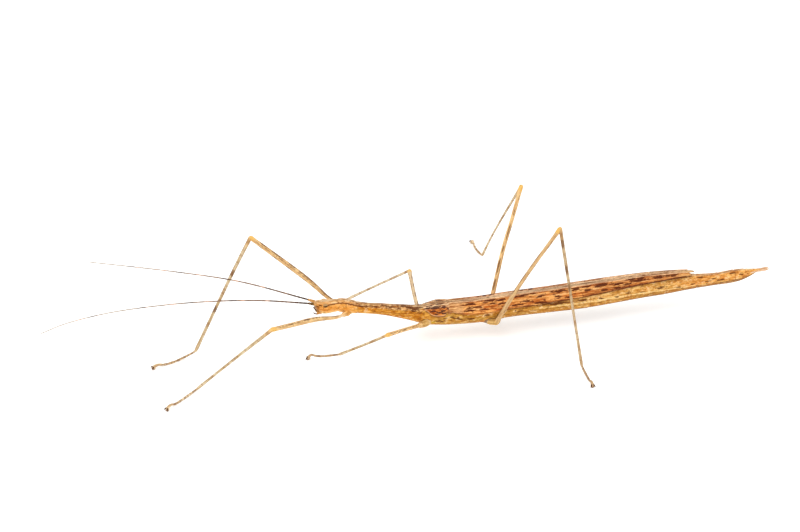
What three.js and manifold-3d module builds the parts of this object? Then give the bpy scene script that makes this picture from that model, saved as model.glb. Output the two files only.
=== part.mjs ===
// A life-size adult female pink-winged stick insect, standing still on its six feet.
// Millimetres, +Z up, with the floor at z = 0. The head points along -X, and the left side is -Y.
// Places are measured from the floor point under the middle coxae. The exported group is shifted
// by ORIGIN, so that the bounding box stands centred on the part's own origin.
import * as THREE from 'three';
import { mergeVertices } from 'three/addons/utils/BufferGeometryUtils.js';
import Module from 'manifold-3d';

const wasm = await Module();
wasm.setup();

// ---------------------------------------------------------------- driving dimensions
const CUT = 0.05; // the thin cut between two plates or leg joints
const FEELER_RADIUS = 0.25; // thinnest round piece
const ORIGIN = { x: -2.125, y: 5.031 }; // middle of the bounding box

const HEAD_FRONT = -20.95;
const NECK = -16.2;
const WAIST = -12.65; // prothorax to mesothorax
const SHOULDER = -0.25; // mesothorax to metathorax
const HIP = 15.1; // metathorax, with the median segment, to the second abdominal segment
const ABDOMEN_JOINTS = [23.1, 31.3, 39.2, 46.2, 52.5, 57.0, 60.0, 62.1, 64.3]; // segments 2 to 10
const OPERCULUM = { from: 57.0, to: 64.6, level: -0.16 };
const WING = { from: 5.0, to: 52.0, tip: 48.6, gap: 0.07 };
const TEGMEN = { from: -0.2, to: 4.94, hump: 0.2, humpAt: 2.6 };

// The trunk in front of the wings, then the outer form of the closed wings:
// [x, axis height, half width, half height]
const OUTLINE = [
  [-16.3, 10.60, 1.12, 1.26],
  [-15.0, 10.34, 1.28, 1.38],
  [-13.4, 9.84, 1.20, 1.30],
  [-12.4, 9.54, 1.06, 1.14],
  [-10.2, 9.00, 1.00, 1.05],
  [-8.0, 8.52, 1.06, 1.12],
  [-6.0, 7.95, 1.17, 1.22],
  [-4.0, 7.38, 1.34, 1.38],
  [-2.0, 6.74, 1.54, 1.56],
  [-0.3, 6.31, 1.82, 1.84],
  [1.6, 6.20, 2.06, 2.10],
  [5.0, 6.04, 2.28, 2.36],
  [10.7, 5.86, 2.38, 2.44],
  [16.4, 6.08, 2.36, 2.42],
  [24.0, 6.12, 2.44, 2.51],
  [30.0, 6.20, 2.54, 2.62],
  [36.0, 6.45, 2.48, 2.56],
  [42.0, 6.69, 2.32, 2.42],
  [46.0, 6.70, 2.18, 2.31],
  [49.4, 6.71, 1.94, 2.13],
  [52.3, 6.64, 1.64, 1.96],
];

// The sides and belly below the wings, and the whole trunk behind them, in the same terms.
const FLANK = [
  [-0.3, 6.27, 1.82, 1.88],
  [1.6, 6.05, 2.02, 2.08],
  [5.0, 5.90, 2.23, 2.34],
  [10.7, 5.70, 2.31, 2.41],
  [16.4, 6.00, 2.29, 2.34],
  [24.0, 6.02, 2.35, 2.41],
  [30.0, 6.06, 2.41, 2.48],
  [36.0, 6.25, 2.30, 2.36],
  [42.0, 6.39, 2.06, 2.12],
  [46.0, 6.33, 1.87, 1.94],
  [49.4, 6.27, 1.60, 1.65],
  [52.4, 6.19, 1.34, 1.40],
  [55.4, 6.11, 1.18, 1.22],
  [57.4, 6.16, 1.12, 1.18],
  [59.4, 6.28, 1.10, 1.26],
  [61.3, 6.43, 0.96, 1.16],
  [62.9, 6.62, 0.68, 0.80],
  [64.3, 6.91, 0.36, 0.38],
  [65.3, 6.95, 0.26, 0.26],
];

// How far the back lies inside the wings' outer form: [x, lower, narrower, less tall]
const SINK = [
  [-0.3, 0.12, 0.56, 0.58],
  [5.0, 0.18, 0.56, 0.66],
  [10.0, 0.20, 0.56, 0.75],
  [40.0, 0.22, 0.52, 0.66],
  [52.0, 0.38, 0.28, 0.54],
];

// The lower edge of the tegmen, then of the hind wing: [x, degrees above the trunk's side]
const LEDGE = [
  [-0.3, 52],
  [0.4, 40],
  [1.3, 18],
  [2.7, 12],
  [4.0, 17],
  [5.0, 27],
  [6.2, 18],
  [7.8, 12],
  [10.7, 9.5],
  [17.0, 10.5],
  [25.0, 18],
  [33.0, 25],
  [45.0, 40],
  [52.0, 52],
];

// The head: [x, axis height, half width, rise, drop]
const HEAD = [
  [-20.95, 11.60, 0.56, 0.42, 0.46],
  [-20.5, 11.28, 0.90, 0.78, 0.98],
  [-19.9, 10.98, 1.10, 1.04, 1.42],
  [-19.1, 10.72, 1.22, 1.28, 1.42],
  [-18.2, 10.60, 1.25, 1.32, 1.36],
  [-17.2, 10.60, 1.17, 1.26, 1.24],
  [-16.2, 10.60, 1.08, 1.20, 1.18],
];

// Radii at even steps along each part of a leg, from the trunk outwards.
const FORE = {
  coxa: 0.72,
  femur: [0.33, 0.36, 0.48, 0.52, 0.51, 0.48, 0.44, 0.44],
  tibia: [0.34, 0.29, 0.27, 0.27, 0.29],
};
const MIDDLE = {
  coxa: 0.88,
  femur: [0.38, 0.38, 0.38, 0.36, 0.38],
  tibia: [0.31, 0.26, 0.26, 0.28],
};
const HIND = {
  coxa: 0.94,
  femur: [0.42, 0.45, 0.45, 0.42, 0.42],
  tibia: [0.33, 0.28, 0.26, 0.26, 0.28],
};
const TARSUS = [0.26, 0.25, 0.28, 0.25, 0.28, 0.25, 0.27, 0.25, 0.28, 0.32, 0.36];

// Each leg's joints. socket is inside the trunk. The bends move points of a limb off its straight
// line, as [part of its length, along X, up]. arch gives the foot's height at parts of its length,
// from the ankle to the toe pad.
const LEGS = {
  fore_left: {
    sizes: FORE, socket: [-14.5, -0.5, 9.8], hip: [-14.5, -1.4, 9.05], knee: [-31.0, -16.2, 18.45],
    femurBends: [[0.12, 0, -0.2], [0.3, 0, 0.2], [0.46, 0, 0.28], [0.66, 0, 0.15]],
    tibiaBends: [[0.5, 0, 0.06]],
    ankle: [-43.52, -6.4, 0.4], toe: [-49.75, -11.35],
    arch: [[0.3, 0.25], [0.55, 0.24], [0.74, 0.32], [0.89, 0.78]],
  },
  fore_right: {
    sizes: FORE, socket: [-14.5, 0.5, 9.8], hip: [-14.5, 1.4, 9.05], knee: [-29.05, 19.4, 14.65],
    femurBends: [[0.12, 0, 0.05], [0.3, 0, -0.1], [0.5, 0, -0.05]],
    tibiaBends: [[0.2, -0.17, 0], [0.6, -0.13, 0]],
    ankle: [-42.3, 4.1, 1.15], toe: [-50.5, 1.7],
    arch: [[0.3, 0.5], [0.55, 0.25], [0.74, 0.32], [0.9, 0.74]],
  },
  middle_left: {
    sizes: MIDDLE, socket: [0.4, -0.7, 6.0], hip: [0.0, -1.95, 5.5], knee: [-9.1, -9.9, 9.6],
    femurBends: [[0.6, 0, 0.06]],
    tibiaBends: [[0.3, 0, -0.08]],
    ankle: [-16.6, -3.4, 1.88], toe: [-22.15, -1.2],
    arch: [[0.3, 1.4], [0.55, 1.08], [0.75, 1.0], [0.89, 1.15]],
  },
  middle_right: {
    sizes: MIDDLE, socket: [0.2, 0.7, 6.0], hip: [-0.55, 1.95, 5.5], knee: [0.4, 14.6, 6.2],
    femurBends: [[0.4, -0.1, 0]],
    tibiaBends: [[0.5, 0, 0.05]],
    ankle: [-11.1, 15.15, 1.15], toe: [-17.1, 14.9],
    arch: [[0.3, 0.65], [0.55, 0.42], [0.75, 0.46], [0.89, 0.84]],
  },
  hind_left: {
    sizes: HIND, socket: [10.8, -1.5, 4.6], hip: [13.3, -2.6, 4.2], knee: [24.15, -5.05, 25.1],
    femurBends: [[0.25, -0.35, 0], [0.45, -0.45, 0], [0.65, -0.38, 0], [0.82, -0.16, 0]],
    tibiaBends: [[0.5, 0, 0]],
    ankle: [26.65, -14.2, 0.45], toe: [27.0, -20.4],
    arch: [[0.3, 0.28], [0.55, 0.25], [0.74, 0.34], [0.89, 0.76]],
  },
  hind_right: {
    sizes: HIND, socket: [10.8, 1.5, 4.6], hip: [13.3, 2.6, 4.2], knee: [21.15, 11.95, 24.15],
    femurBends: [[0.3, -0.25, 0], [0.5, -0.36, 0], [0.72, -0.1, 0]],
    tibiaBends: [[0.3, -0.15, 0], [0.65, -0.3, 0]],
    ankle: [17.0, 24.2, 1.05], toe: [16.4, 30.45],
    arch: [[0.3, 0.55], [0.55, 0.28], [0.74, 0.3], [0.89, 0.72]],
  },
};

// Each feeler's line: a short scape at the head, then the long flagellum.
const FEELERS = {
  left: {
    scape: [[-20.2, -0.5, 11.6], [-21.75, -0.85, 12.33]],
    flagellum: [
      [-21.75, -0.85, 12.33], [-30.9, -2.8, 15.6], [-40.0, -4.75, 18.05], [-49.0, -6.65, 19.8],
      [-58.5, -8.65, 20.95], [-66.4, -10.35, 20.95], [-71.0, -11.3, 20.1],
    ],
  },
  right: {
    scape: [[-20.3, 0.5, 11.55], [-21.6, 0.95, 11.97]],
    flagellum: [
      [-21.6, 0.95, 11.97], [-33.4, 4.75, 15.05], [-45.2, 8.6, 16.4], [-59.75, 13.3, 17.4],
    ],
  },
};

const COLOURS = {
  straw: 0xd8ac70,
  bark: 0xb98652,
  wing: 0xa86a3c,
  eye: 0x5a4632,
  feeler: 0x8a6a4c,
};

// ---------------------------------------------------------------- small tools
const point = (p) => new THREE.Vector3(...p);
const curve = (points) => new THREE.CatmullRomCurve3(points.map(point), false, 'centripetal');
const lerp = THREE.MathUtils.lerp;

// A smooth function through a table's rows, whose first column is x.
function smooth(table) {
  const columns = table[0].length - 1;
  const line = new THREE.CubicInterpolant(
    table.map((row) => row[0]),
    table.flatMap((row) => row.slice(1)),
    columns,
  );
  return (x) => [...line.evaluate(THREE.MathUtils.clamp(x, table[0][0], table.at(-1)[0]))];
}

const outlineAt = smooth(OUTLINE);
const flankAt = smooth(FLANK);
const sinkAt = smooth(SINK);
const ledgeAt = smooth(LEDGE);
const headAt = smooth(HEAD);

// The back's own form under the wings.
function backAt(x) {
  const outer = outlineAt(x);
  const sink = sinkAt(x);
  return outer.map((value, i) => value - sink[i]);
}

// Moves each vertex of a three.js geometry to where place(x, y, z) says.
function shaped(geometry, place) {
  const at = geometry.getAttribute('position');
  for (let i = 0; i < at.count; i++) {
    const to = place(at.getX(i), at.getY(i), at.getZ(i));
    at.setXYZ(i, to.x, to.y, to.z);
  }
  return geometry;
}

function solidOf(geometry) {
  const bare = geometry.clone();
  bare.deleteAttribute('normal');
  bare.deleteAttribute('uv');
  const merged = mergeVertices(bare, 1e-4);
  const mesh = new wasm.Mesh({
    numProp: 3,
    vertProperties: new Float32Array(merged.getAttribute('position').array),
    triVerts: new Uint32Array(merged.index.array),
  });
  return new wasm.Manifold(mesh);
}

function geometryOf(solid) {
  const mesh = solid.getMesh();
  const geometry = new THREE.BufferGeometry();
  geometry.setAttribute('position', new THREE.BufferAttribute(mesh.vertProperties, 3));
  geometry.setIndex(new THREE.BufferAttribute(mesh.triVerts, 1));
  return geometry;
}

// The largest body left after the cutters are taken from a solid.
function carved(solid, cutters) {
  const left = cutters.reduce((rest, cutter) => rest.subtract(cutter), solid);
  return left.decompose().sort((a, b) => b.volume() - a.volume())[0];
}

// A round limb with rounded ends along a curve. radii are its radii at even steps along it,
// and flat is its width as a part of its height.
function limb(line, radii, { grow = 0, sides = 8, steps = 6, round = 2, flat = 1 } = {}) {
  const thick = Math.max(...radii) + grow;
  const length = line.getLength();
  const straight = length + 2 * grow - 2 * thick;
  const geometry = new THREE.CapsuleGeometry(thick, Math.max(straight, 0.02), round, sides, steps);
  const half = straight / 2 + thick;
  const radiusAt = (t) => {
    const k = THREE.MathUtils.clamp(t, 0, 1) * (radii.length - 1);
    const i = Math.min(Math.floor(k), radii.length - 2);
    return lerp(radii[i], radii[i + 1], k - i) + grow;
  };
  return shaped(geometry, (x, y, z) => {
    const reach = y + half - grow;
    const t = THREE.MathUtils.clamp(reach / length, 0, 1);
    const tangent = line.getTangentAt(t);
    const past = reach - t * length;
    const side = new THREE.Vector3(tangent.y, -tangent.x, 0).normalize();
    const up = side.clone().cross(tangent);
    const swell = radiusAt(t) / thick;
    const centre = line.getPointAt(t).addScaledVector(tangent, past);
    return centre.addScaledVector(side, x * swell * flat).addScaledVector(up, z * swell);
  });
}

// A length of the trunk with flat ends. section(x, c, s) places the point (c, s) of a unit circle.
function plateRing(from, to, steps, sides, section) {
  const drum = new THREE.CylinderGeometry(1, 1, 1, sides, steps);
  return shaped(drum, (c, t, s) => section(lerp(from, to, t + 0.5), -c, s));
}

// A bent shell: u runs from front to back, v from the lower edge to the back's middle.
function shell(steps, across, surface) {
  const sheet = new THREE.BoxGeometry(1, 1, 1, steps, across, 1);
  return shaped(sheet, (u, v, w) => surface(u + 0.5, v + 0.5, w + 0.5));
}

// ---------------------------------------------------------------- the trunk
// A point of a section of the form at(x): angle is in degrees above the trunk's side.
function onForm(at, x, angle, side, out = 0) {
  const [height, half, tall] = at(x);
  const a = THREE.MathUtils.degToRad(angle);
  const y = side * Math.cos(a) * (half + out);
  return new THREE.Vector3(x, y, height + Math.sin(a) * (tall + out));
}

function trunkLength(from, to, steps, at, grow = 0) {
  const section = (x, c, s) => {
    const [height, half, tall] = at(x);
    return new THREE.Vector3(x, c * (half + grow), height + s * (tall + grow));
  };
  return solidOf(plateRing(from - grow, to + grow, steps, 16, section));
}

// A length of the trunk under the wings. Its flanks stop at the wing's lower edge in a ledge,
// and its back lies lower than the flanks, as deep as the closed wings are thick.
function wingedLength(from, to, steps, ease = 1) {
  const reach = (x) => from + (to - from) * ((x - from) / (to - from)) ** ease;
  const section = (place, c, s) => {
    const x = reach(place);
    const [height, , tall] = flankAt(x);
    if (c === 0 && s === 0) return new THREE.Vector3(x, 0, height - 0.6 * tall); // middle of an end
    const side = Math.sign(c) || 1;
    const turn = THREE.MathUtils.radToDeg(Math.asin(THREE.MathUtils.clamp(s, -1, 1)));
    const ledge = ledgeAt(x)[0];
    if (turn < 1) {
      const angle = lerp(-90, ledge - 0.6, (turn + 90) / 90);
      return onForm(flankAt, x, angle, side * Math.abs(Math.sign(c)));
    }
    return onForm(backAt, x, lerp(ledge + 0.6, 90, (turn - 22.5) / 67.5), side);
  };
  return solidOf(plateRing(from, to, steps, 16, section));
}

function headSolid(grow = 0) {
  const section = (x, c, s) => {
    const [height, half, rise, drop] = headAt(x);
    return new THREE.Vector3(x, c * (half + grow), height + s * ((s > 0 ? rise : drop) + grow));
  };
  return solidOf(plateRing(HEAD_FRONT - grow, NECK - CUT / 2 + grow, 7, 16, section));
}

// Behind the seventh segment the back and the operculum share the trunk's form along a level cut.
function tailHalf(from, to, steps, above) {
  const { level } = OPERCULUM;
  const section = (x, c, s) => {
    const [height, half, tall] = flankAt(x);
    const cut = above ? Math.max(s, level) : Math.min(s, level - CUT / tall);
    return new THREE.Vector3(x, c * half, height + cut * tall);
  };
  return solidOf(plateRing(from, to, steps, 16, section));
}

function trunkPieces() {
  const pieces = { head: headSolid() };
  pieces.prothorax = trunkLength(NECK + CUT / 2, WAIST - CUT / 2, 4, outlineAt);
  pieces.mesothorax = trunkLength(WAIST + CUT / 2, SHOULDER - CUT / 2, 7, outlineAt);
  pieces.metathorax = wingedLength(SHOULDER + CUT / 2, HIP - CUT / 2, 12, 1.5);
  let front = HIP;
  ABDOMEN_JOINTS.forEach((back, i) => {
    const ends = [front + CUT / 2, back - CUT / 2];
    const name = `abdomen_${i + 2}`;
    if (front < WING.to) pieces[name] = wingedLength(...ends, 3);
    else if (front < OPERCULUM.from) pieces[name] = trunkLength(...ends, 3, flankAt);
    else pieces[name] = tailHalf(...ends, 2, true);
    front = back;
  });
  pieces.operculum = tailHalf(OPERCULUM.from + CUT / 2, OPERCULUM.to, 7, false);
  return pieces;
}

// ---------------------------------------------------------------- wings
// The angle at which a shell stops short of the back's middle, so that the two sides don't touch.
function middleAngle(at, x) {
  const [, half] = at(x);
  return 90 - THREE.MathUtils.radToDeg(CUT / 2 / half);
}

// A point of a wing: v runs from its lower edge to the back's middle, w from inside to outside.
function onWing(x, edge, v, w, side, out = 0) {
  const at = w > 0.5 ? outlineAt : backAt;
  const angle = lerp(edge, middleAngle(at, x), v);
  return onForm(at, x, angle, side, w > 0.5 ? out : WING.gap);
}

function hindWing(side) {
  return shell(15, 4, (u, v, w) => {
    const x = lerp(WING.from, lerp(WING.tip, WING.to, v), u);
    return onWing(x, ledgeAt(x)[0] + 2.6, v, w, side);
  });
}

function tegmen(side) {
  return shell(8, 5, (u, v, w) => {
    const x = lerp(TEGMEN.from, TEGMEN.to, u);
    const edge = ledgeAt(x)[0] + 2.6;
    const angle = lerp(edge, 90, v);
    const along = (x - TEGMEN.humpAt) / 1.4;
    const up = (angle - 60) / 22;
    return onWing(x, edge, v, w, side, TEGMEN.hump * Math.exp(-(along ** 2) - up ** 2));
  });
}

// A right-hand shell is the left one seen in a mirror, so its faces are turned round.
function mirrored(geometry) {
  const index = geometry.index.array;
  for (let i = 0; i < index.length; i += 3) {
    [index[i + 1], index[i + 2]] = [index[i + 2], index[i + 1]];
  }
  return geometry;
}

function wingPieces() {
  return {
    hind_wing_left: solidOf(hindWing(-1)),
    hind_wing_right: solidOf(mirrored(hindWing(1))),
    tegmen_left: solidOf(tegmen(-1)),
    tegmen_right: solidOf(mirrored(tegmen(1))),
  };
}

// ---------------------------------------------------------------- head parts
function ball(centre, size, grow = 0) {
  const sphere = new THREE.SphereGeometry(1, 10, 5);
  return solidOf(
    shaped(sphere, (x, y, z) =>
      new THREE.Vector3(x, y, z).multiply(point(size).addScalar(grow)).add(point(centre)),
    ),
  );
}

function headPieces() {
  const head = headSolid(CUT);
  const pieces = {};
  for (const [name, side] of [['left', -1], ['right', 1]]) {
    const eye = ball([-18.65, side * 0.93, 11.46], [0.6, 0.54, 0.48]);
    pieces[`eye_${name}`] = carved(eye, [head]);
    const { scape, flagellum } = FEELERS[name];
    const scapeLine = curve(scape);
    const base = solidOf(limb(scapeLine, [0.32, 0.3, 0.27], { steps: 2 }));
    pieces[`scape_${name}`] = carved(base, [head]);
    const radii = [FEELER_RADIUS, FEELER_RADIUS];
    const whip = limb(curve(flagellum), radii, { sides: 6, steps: 13, round: 1 });
    const cutter = solidOf(limb(scapeLine, [0.32, 0.3, 0.27], { steps: 2, grow: CUT }));
    pieces[`flagellum_${name}`] = carved(solidOf(whip), [cutter, head]);
  }
  const jaws = ball([-20.0, 0, 9.95], [0.6, 0.7, 0.62]);
  pieces.jaws = carved(jaws, [head]);
  const grownJaws = ball([-20.0, 0, 9.95], [0.6, 0.7, 0.62], CUT);
  const palps = {
    left: [[-19.5, -0.7, 9.95], [-20.3, -0.92, 9.9], [-20.8, -0.84, 10.4]],
    right: [[-19.5, 0.7, 9.95], [-20.3, 0.92, 9.9], [-20.8, 0.84, 10.4]],
  };
  for (const [name, line] of Object.entries(palps)) {
    const palp = limb(curve(line), [0.26, 0.26, 0.25], { sides: 6, steps: 4, round: 1 });
    pieces[`palp_${name}`] = carved(solidOf(palp), [head, grownJaws]);
  }
  return pieces;
}

function cerci(tail) {
  const pieces = {};
  for (const [name, side] of [['left', -1], ['right', 1]]) {
    const line = curve([
      [62.9, side * 0.46, 6.85], [64.4, side * 0.3, 6.93], [65.6, side * 0.26, 6.94],
      [66.75, side * 0.28, 7.1],
    ]);
    const leaf = limb(line, [0.28, 0.26, 0.26, 0.3], { sides: 6, steps: 4, round: 1, flat: 0.8 });
    pieces[`cercus_${name}`] = carved(solidOf(leaf), tail);
  }
  return pieces;
}

// ---------------------------------------------------------------- legs
const floor = solidOf(
  new THREE.BoxGeometry(200, 200, 10).translate(0, 0, -5),
);

function bowed(from, to, bends) {
  const middle = bends.map(([t, along, up]) => {
    const place = new THREE.Vector3().lerpVectors(point(from), point(to), t);
    return [place.x + along, place.y, place.z + up];
  });
  return curve([from, ...middle, to]);
}

// The foot runs down from the ankle and lies along the floor. Its last segment arches up,
// then the toe pad reaches down to the floor.
function footLine({ ankle, toe, arch }) {
  const along = (t, height) => [lerp(ankle[0], toe[0], t), lerp(ankle[1], toe[1], t), height];
  return curve([
    ankle, ...arch.map(([t, height]) => along(t, height)), along(0.975, 0.62), along(1, -0.3),
  ]);
}

function claws({ ankle, toe }) {
  const ahead = new THREE.Vector3(toe[0] - ankle[0], toe[1] - ankle[1], 0).normalize();
  const across = new THREE.Vector3(-ahead.y, ahead.x, 0);
  const place = (forward, aside, height) => {
    const pad = new THREE.Vector3(toe[0], toe[1], height);
    return pad.addScaledVector(ahead, forward).addScaledVector(across, aside);
  };
  return [-1, 1].map((side) => {
    const line = new THREE.CatmullRomCurve3([
      place(-0.3, 0, 0.6), place(0.1, side * 0.34, 0.52), place(0.22, side * 0.5, 0.1),
    ]);
    return solidOf(limb(line, [0.25, 0.24, 0.2], { sides: 5, steps: 2, round: 1 }));
  });
}

function legPieces(trunk) {
  const pieces = {};
  for (const [name, leg] of Object.entries(LEGS)) {
    const { sizes } = leg;
    const coxaLine = curve([leg.socket, leg.hip]);
    const coxa = (grow) => limb(coxaLine, [sizes.coxa, sizes.coxa * 0.8], { grow, steps: 2 });
    const thighLine = bowed(leg.hip, leg.knee, leg.femurBends);
    const shinLine = bowed(leg.knee, leg.ankle, leg.tibiaBends);
    const femur = (grow) => limb(thighLine, sizes.femur, { grow, steps: 8 });
    const tibia = (grow) => limb(shinLine, sizes.tibia, { grow, steps: 5 });
    const tarsus = limb(footLine(leg), TARSUS, { sides: 6, steps: 11, round: 1 });
    const foot = claws(leg).reduce((whole, claw) => whole.add(claw), solidOf(tarsus));
    pieces[`coxa_${name}`] = carved(solidOf(coxa(0)), trunk);
    pieces[`femur_${name}`] = carved(solidOf(femur(0)), [...trunk, solidOf(coxa(CUT))]);
    pieces[`tibia_${name}`] = carved(solidOf(tibia(0)), [solidOf(femur(CUT)), floor]);
    pieces[`tarsus_${name}`] = carved(foot, [solidOf(tibia(CUT)), floor]);
  }
  return pieces;
}

// ---------------------------------------------------------------- the whole insect
function finish(name) {
  if (name.startsWith('eye')) return { color: COLOURS.eye, roughness: 0.25 };
  if (/flagellum|palp|jaws/.test(name)) return { color: COLOURS.feeler, roughness: 0.6 };
  if (/wing|tegmen/.test(name)) return { color: COLOURS.wing, roughness: 0.55 };
  if (/coxa|femur|tibia|tarsus|scape/.test(name)) return { color: COLOURS.straw, roughness: 0.6 };
  return { color: COLOURS.bark, roughness: 0.6 };
}

const grownTrunk = [
  trunkLength(NECK, SHOULDER, 12, outlineAt, CUT),
  trunkLength(SHOULDER, HIP + 2, 8, outlineAt, CUT),
  trunkLength(SHOULDER, HIP + 2, 8, flankAt, CUT),
];
const grownTail = [trunkLength(OPERCULUM.from, OPERCULUM.to, 12, flankAt, CUT)];

const insect = new THREE.Group();
const pieces = {
  ...trunkPieces(),
  ...wingPieces(),
  ...headPieces(),
  ...cerci(grownTail),
  ...legPieces(grownTrunk),
};
for (const [name, solid] of Object.entries(pieces)) {
  const material = new THREE.MeshStandardMaterial({ metalness: 0, ...finish(name) });
  const mesh = new THREE.Mesh(geometryOf(solid), material);
  mesh.name = name;
  insect.add(mesh);
}
insect.position.set(-ORIGIN.x, -ORIGIN.y, 0);

export default insect;
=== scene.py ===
"""A life-size stick insect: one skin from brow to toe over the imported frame, with its closed wings,
eyes, mouthparts, feelers, tail leaves and claws, on a plain pale stage.

Places are written in millimetres from the floor point under the middle legs, and put_mm() takes
them to the frame. The head points along -X, and the insect's left side is -Y.
"""

import math

import bmesh
import bpy
from mathutils import Matrix, Vector


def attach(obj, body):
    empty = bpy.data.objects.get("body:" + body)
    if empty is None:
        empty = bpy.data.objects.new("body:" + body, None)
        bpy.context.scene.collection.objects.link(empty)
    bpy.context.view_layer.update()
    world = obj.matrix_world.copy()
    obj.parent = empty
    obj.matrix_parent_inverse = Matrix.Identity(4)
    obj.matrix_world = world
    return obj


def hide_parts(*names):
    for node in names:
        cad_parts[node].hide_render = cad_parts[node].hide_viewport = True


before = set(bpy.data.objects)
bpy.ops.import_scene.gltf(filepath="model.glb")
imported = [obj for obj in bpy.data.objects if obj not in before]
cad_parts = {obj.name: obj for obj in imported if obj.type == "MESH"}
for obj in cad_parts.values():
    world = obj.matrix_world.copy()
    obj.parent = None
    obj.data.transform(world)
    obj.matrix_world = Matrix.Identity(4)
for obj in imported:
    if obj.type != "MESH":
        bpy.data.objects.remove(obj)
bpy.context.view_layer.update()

bl_info = {
    "name": "Stick Insect",
    "version": (1, 0, 0),
    "blender": (4, 5, 0),
    "location": "View3D > Sidebar > Stick Insect",
    "description": "Builds a life-size stick insect piece by piece over its packed frame",
    "category": "Add Mesh",
}

MM = 0.001
SHIFT = Vector((2.125, -5.031, 0.0))  # from the floor point under the middle legs to the frame's origin

# ---------------------------------------------------------------- the insect's measures
# Outer form of the trunk and of the closed wings: x, axis height, half width, half height
OUTLINE = [
    (-16.3, 10.60, 1.12, 1.26), (-15.0, 10.34, 1.28, 1.38), (-13.4, 9.84, 1.20, 1.30),
    (-12.4, 9.54, 1.06, 1.14), (-10.2, 9.00, 1.00, 1.05), (-8.0, 8.52, 1.06, 1.12),
    (-6.0, 7.95, 1.17, 1.22), (-4.0, 7.38, 1.34, 1.38), (-2.0, 6.74, 1.54, 1.56),
    (-0.3, 6.31, 1.82, 1.84), (1.6, 6.20, 2.06, 2.10), (5.0, 6.04, 2.28, 2.36),
    (10.7, 5.86, 2.38, 2.44), (16.4, 6.08, 2.36, 2.42), (24.0, 6.12, 2.44, 2.51),
    (30.0, 6.20, 2.54, 2.62), (36.0, 6.45, 2.48, 2.56), (42.0, 6.69, 2.32, 2.42),
    (46.0, 6.70, 2.18, 2.31), (49.4, 6.71, 1.94, 2.13), (52.3, 6.64, 1.64, 1.96),
]
# Sides and belly below the wings, and the whole tail behind them
FLANK = [
    (-0.3, 6.27, 1.82, 1.88), (1.6, 6.05, 2.02, 2.08), (5.0, 5.90, 2.23, 2.34),
    (10.7, 5.70, 2.31, 2.41), (16.4, 6.00, 2.29, 2.34), (24.0, 6.02, 2.35, 2.41),
    (30.0, 6.06, 2.41, 2.48), (36.0, 6.25, 2.30, 2.36), (42.0, 6.39, 2.06, 2.12),
    (46.0, 6.33, 1.87, 1.94), (49.4, 6.27, 1.60, 1.65), (52.4, 6.19, 1.34, 1.40),
    (55.4, 6.11, 1.18, 1.22), (57.4, 6.16, 1.12, 1.18), (59.4, 6.28, 1.10, 1.26),
    (61.3, 6.43, 0.96, 1.16), (62.9, 6.62, 0.68, 0.80), (64.3, 6.91, 0.36, 0.38),
    (65.3, 6.95, 0.22, 0.22),
]
# How far the back lies inside the wings' outer form: x, lower, narrower, less tall
SINK = [(-0.3, 0.02, 0.05, 0.05), (2.0, 0.05, 0.20, 0.22), (40.0, 0.08, 0.22, 0.24), (52.3, 0.40, 0.28, 0.54)]
# Lower edge of the closed wings: x, degrees above the trunk's side
LEDGE = [
    (-0.3, 52), (0.4, 40), (1.3, 18), (2.7, 12), (4.0, 17), (5.0, 27), (6.2, 18), (7.8, 12),
    (10.7, 9.5), (17.0, 10.5), (25.0, 18), (33.0, 25), (45.0, 40), (52.0, 52),
]
# Head: x, axis height, half width, rise, drop
HEAD = [
    (-20.42, 11.40, 0.55, 0.46, 0.62), (-20.12, 11.18, 0.88, 0.80, 1.05), (-19.7, 10.94, 1.08, 1.04, 1.36),
    (-19.05, 10.72, 1.22, 1.26, 1.42), (-18.2, 10.60, 1.25, 1.32, 1.36), (-17.2, 10.60, 1.17, 1.26, 1.24),
    (-16.2, 10.60, 1.08, 1.20, 1.18),
]
NECK = -16.2
WING_START, WING_END = -0.3, 52.3  # where the closed wings lie over the trunk, along X
# Joints between the trunk's segments, and how deep each is pinched
JOINTS = [
    (-12.65, 0.04), (-1.15, 0.04), (15.1, 0.03), (23.1, 0.035), (31.3, 0.035), (39.2, 0.035),
    (46.2, 0.035), (52.5, 0.045), (57.0, 0.045), (60.0, 0.045), (62.1, 0.04), (64.3, 0.04),
]

EYE = {"centre": (-18.65, 0.84, 11.36), "half": 0.38}

FEELERS = {
    "left": {
        "dark": 0.36, "scape": [(-20.2, -0.5, 11.6), (-21.75, -0.85, 12.33)],
        "whip": [
            (-21.75, -0.85, 12.33), (-30.9, -2.8, 15.6), (-40.0, -4.75, 18.05), (-49.0, -6.65, 19.8),
            (-58.5, -8.65, 20.95), (-66.4, -10.35, 20.95), (-71.0, -11.3, 20.1),
        ],
    },
    "right": {
        "dark": 0.84, "scape": [(-20.3, 0.5, 11.55), (-21.6, 0.95, 11.97)],
        "whip": [(-21.6, 0.95, 11.97), (-33.4, 4.75, 15.05), (-45.2, 8.6, 16.4), (-59.75, 13.3, 17.4)],
    },
}

PALPS = {
    "left": [
        [(-19.5, -0.7, 9.75), (-20.0, -0.9, 10.05), (-20.52, -0.95, 10.84), (-20.88, -0.9, 11.5)],
        [(-19.6, -0.3, 9.5), (-20.25, -0.42, 9.46), (-20.85, -0.4, 9.84)],
    ],
    "right": [
        [(-19.5, 0.7, 9.75), (-19.95, 0.85, 9.8), (-20.2, 0.86, 10.1), (-20.36, 0.82, 10.42)],
        [(-19.6, 0.3, 9.5), (-19.95, 0.4, 9.42), (-20.3, 0.4, 9.6)],
    ],
}

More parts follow.
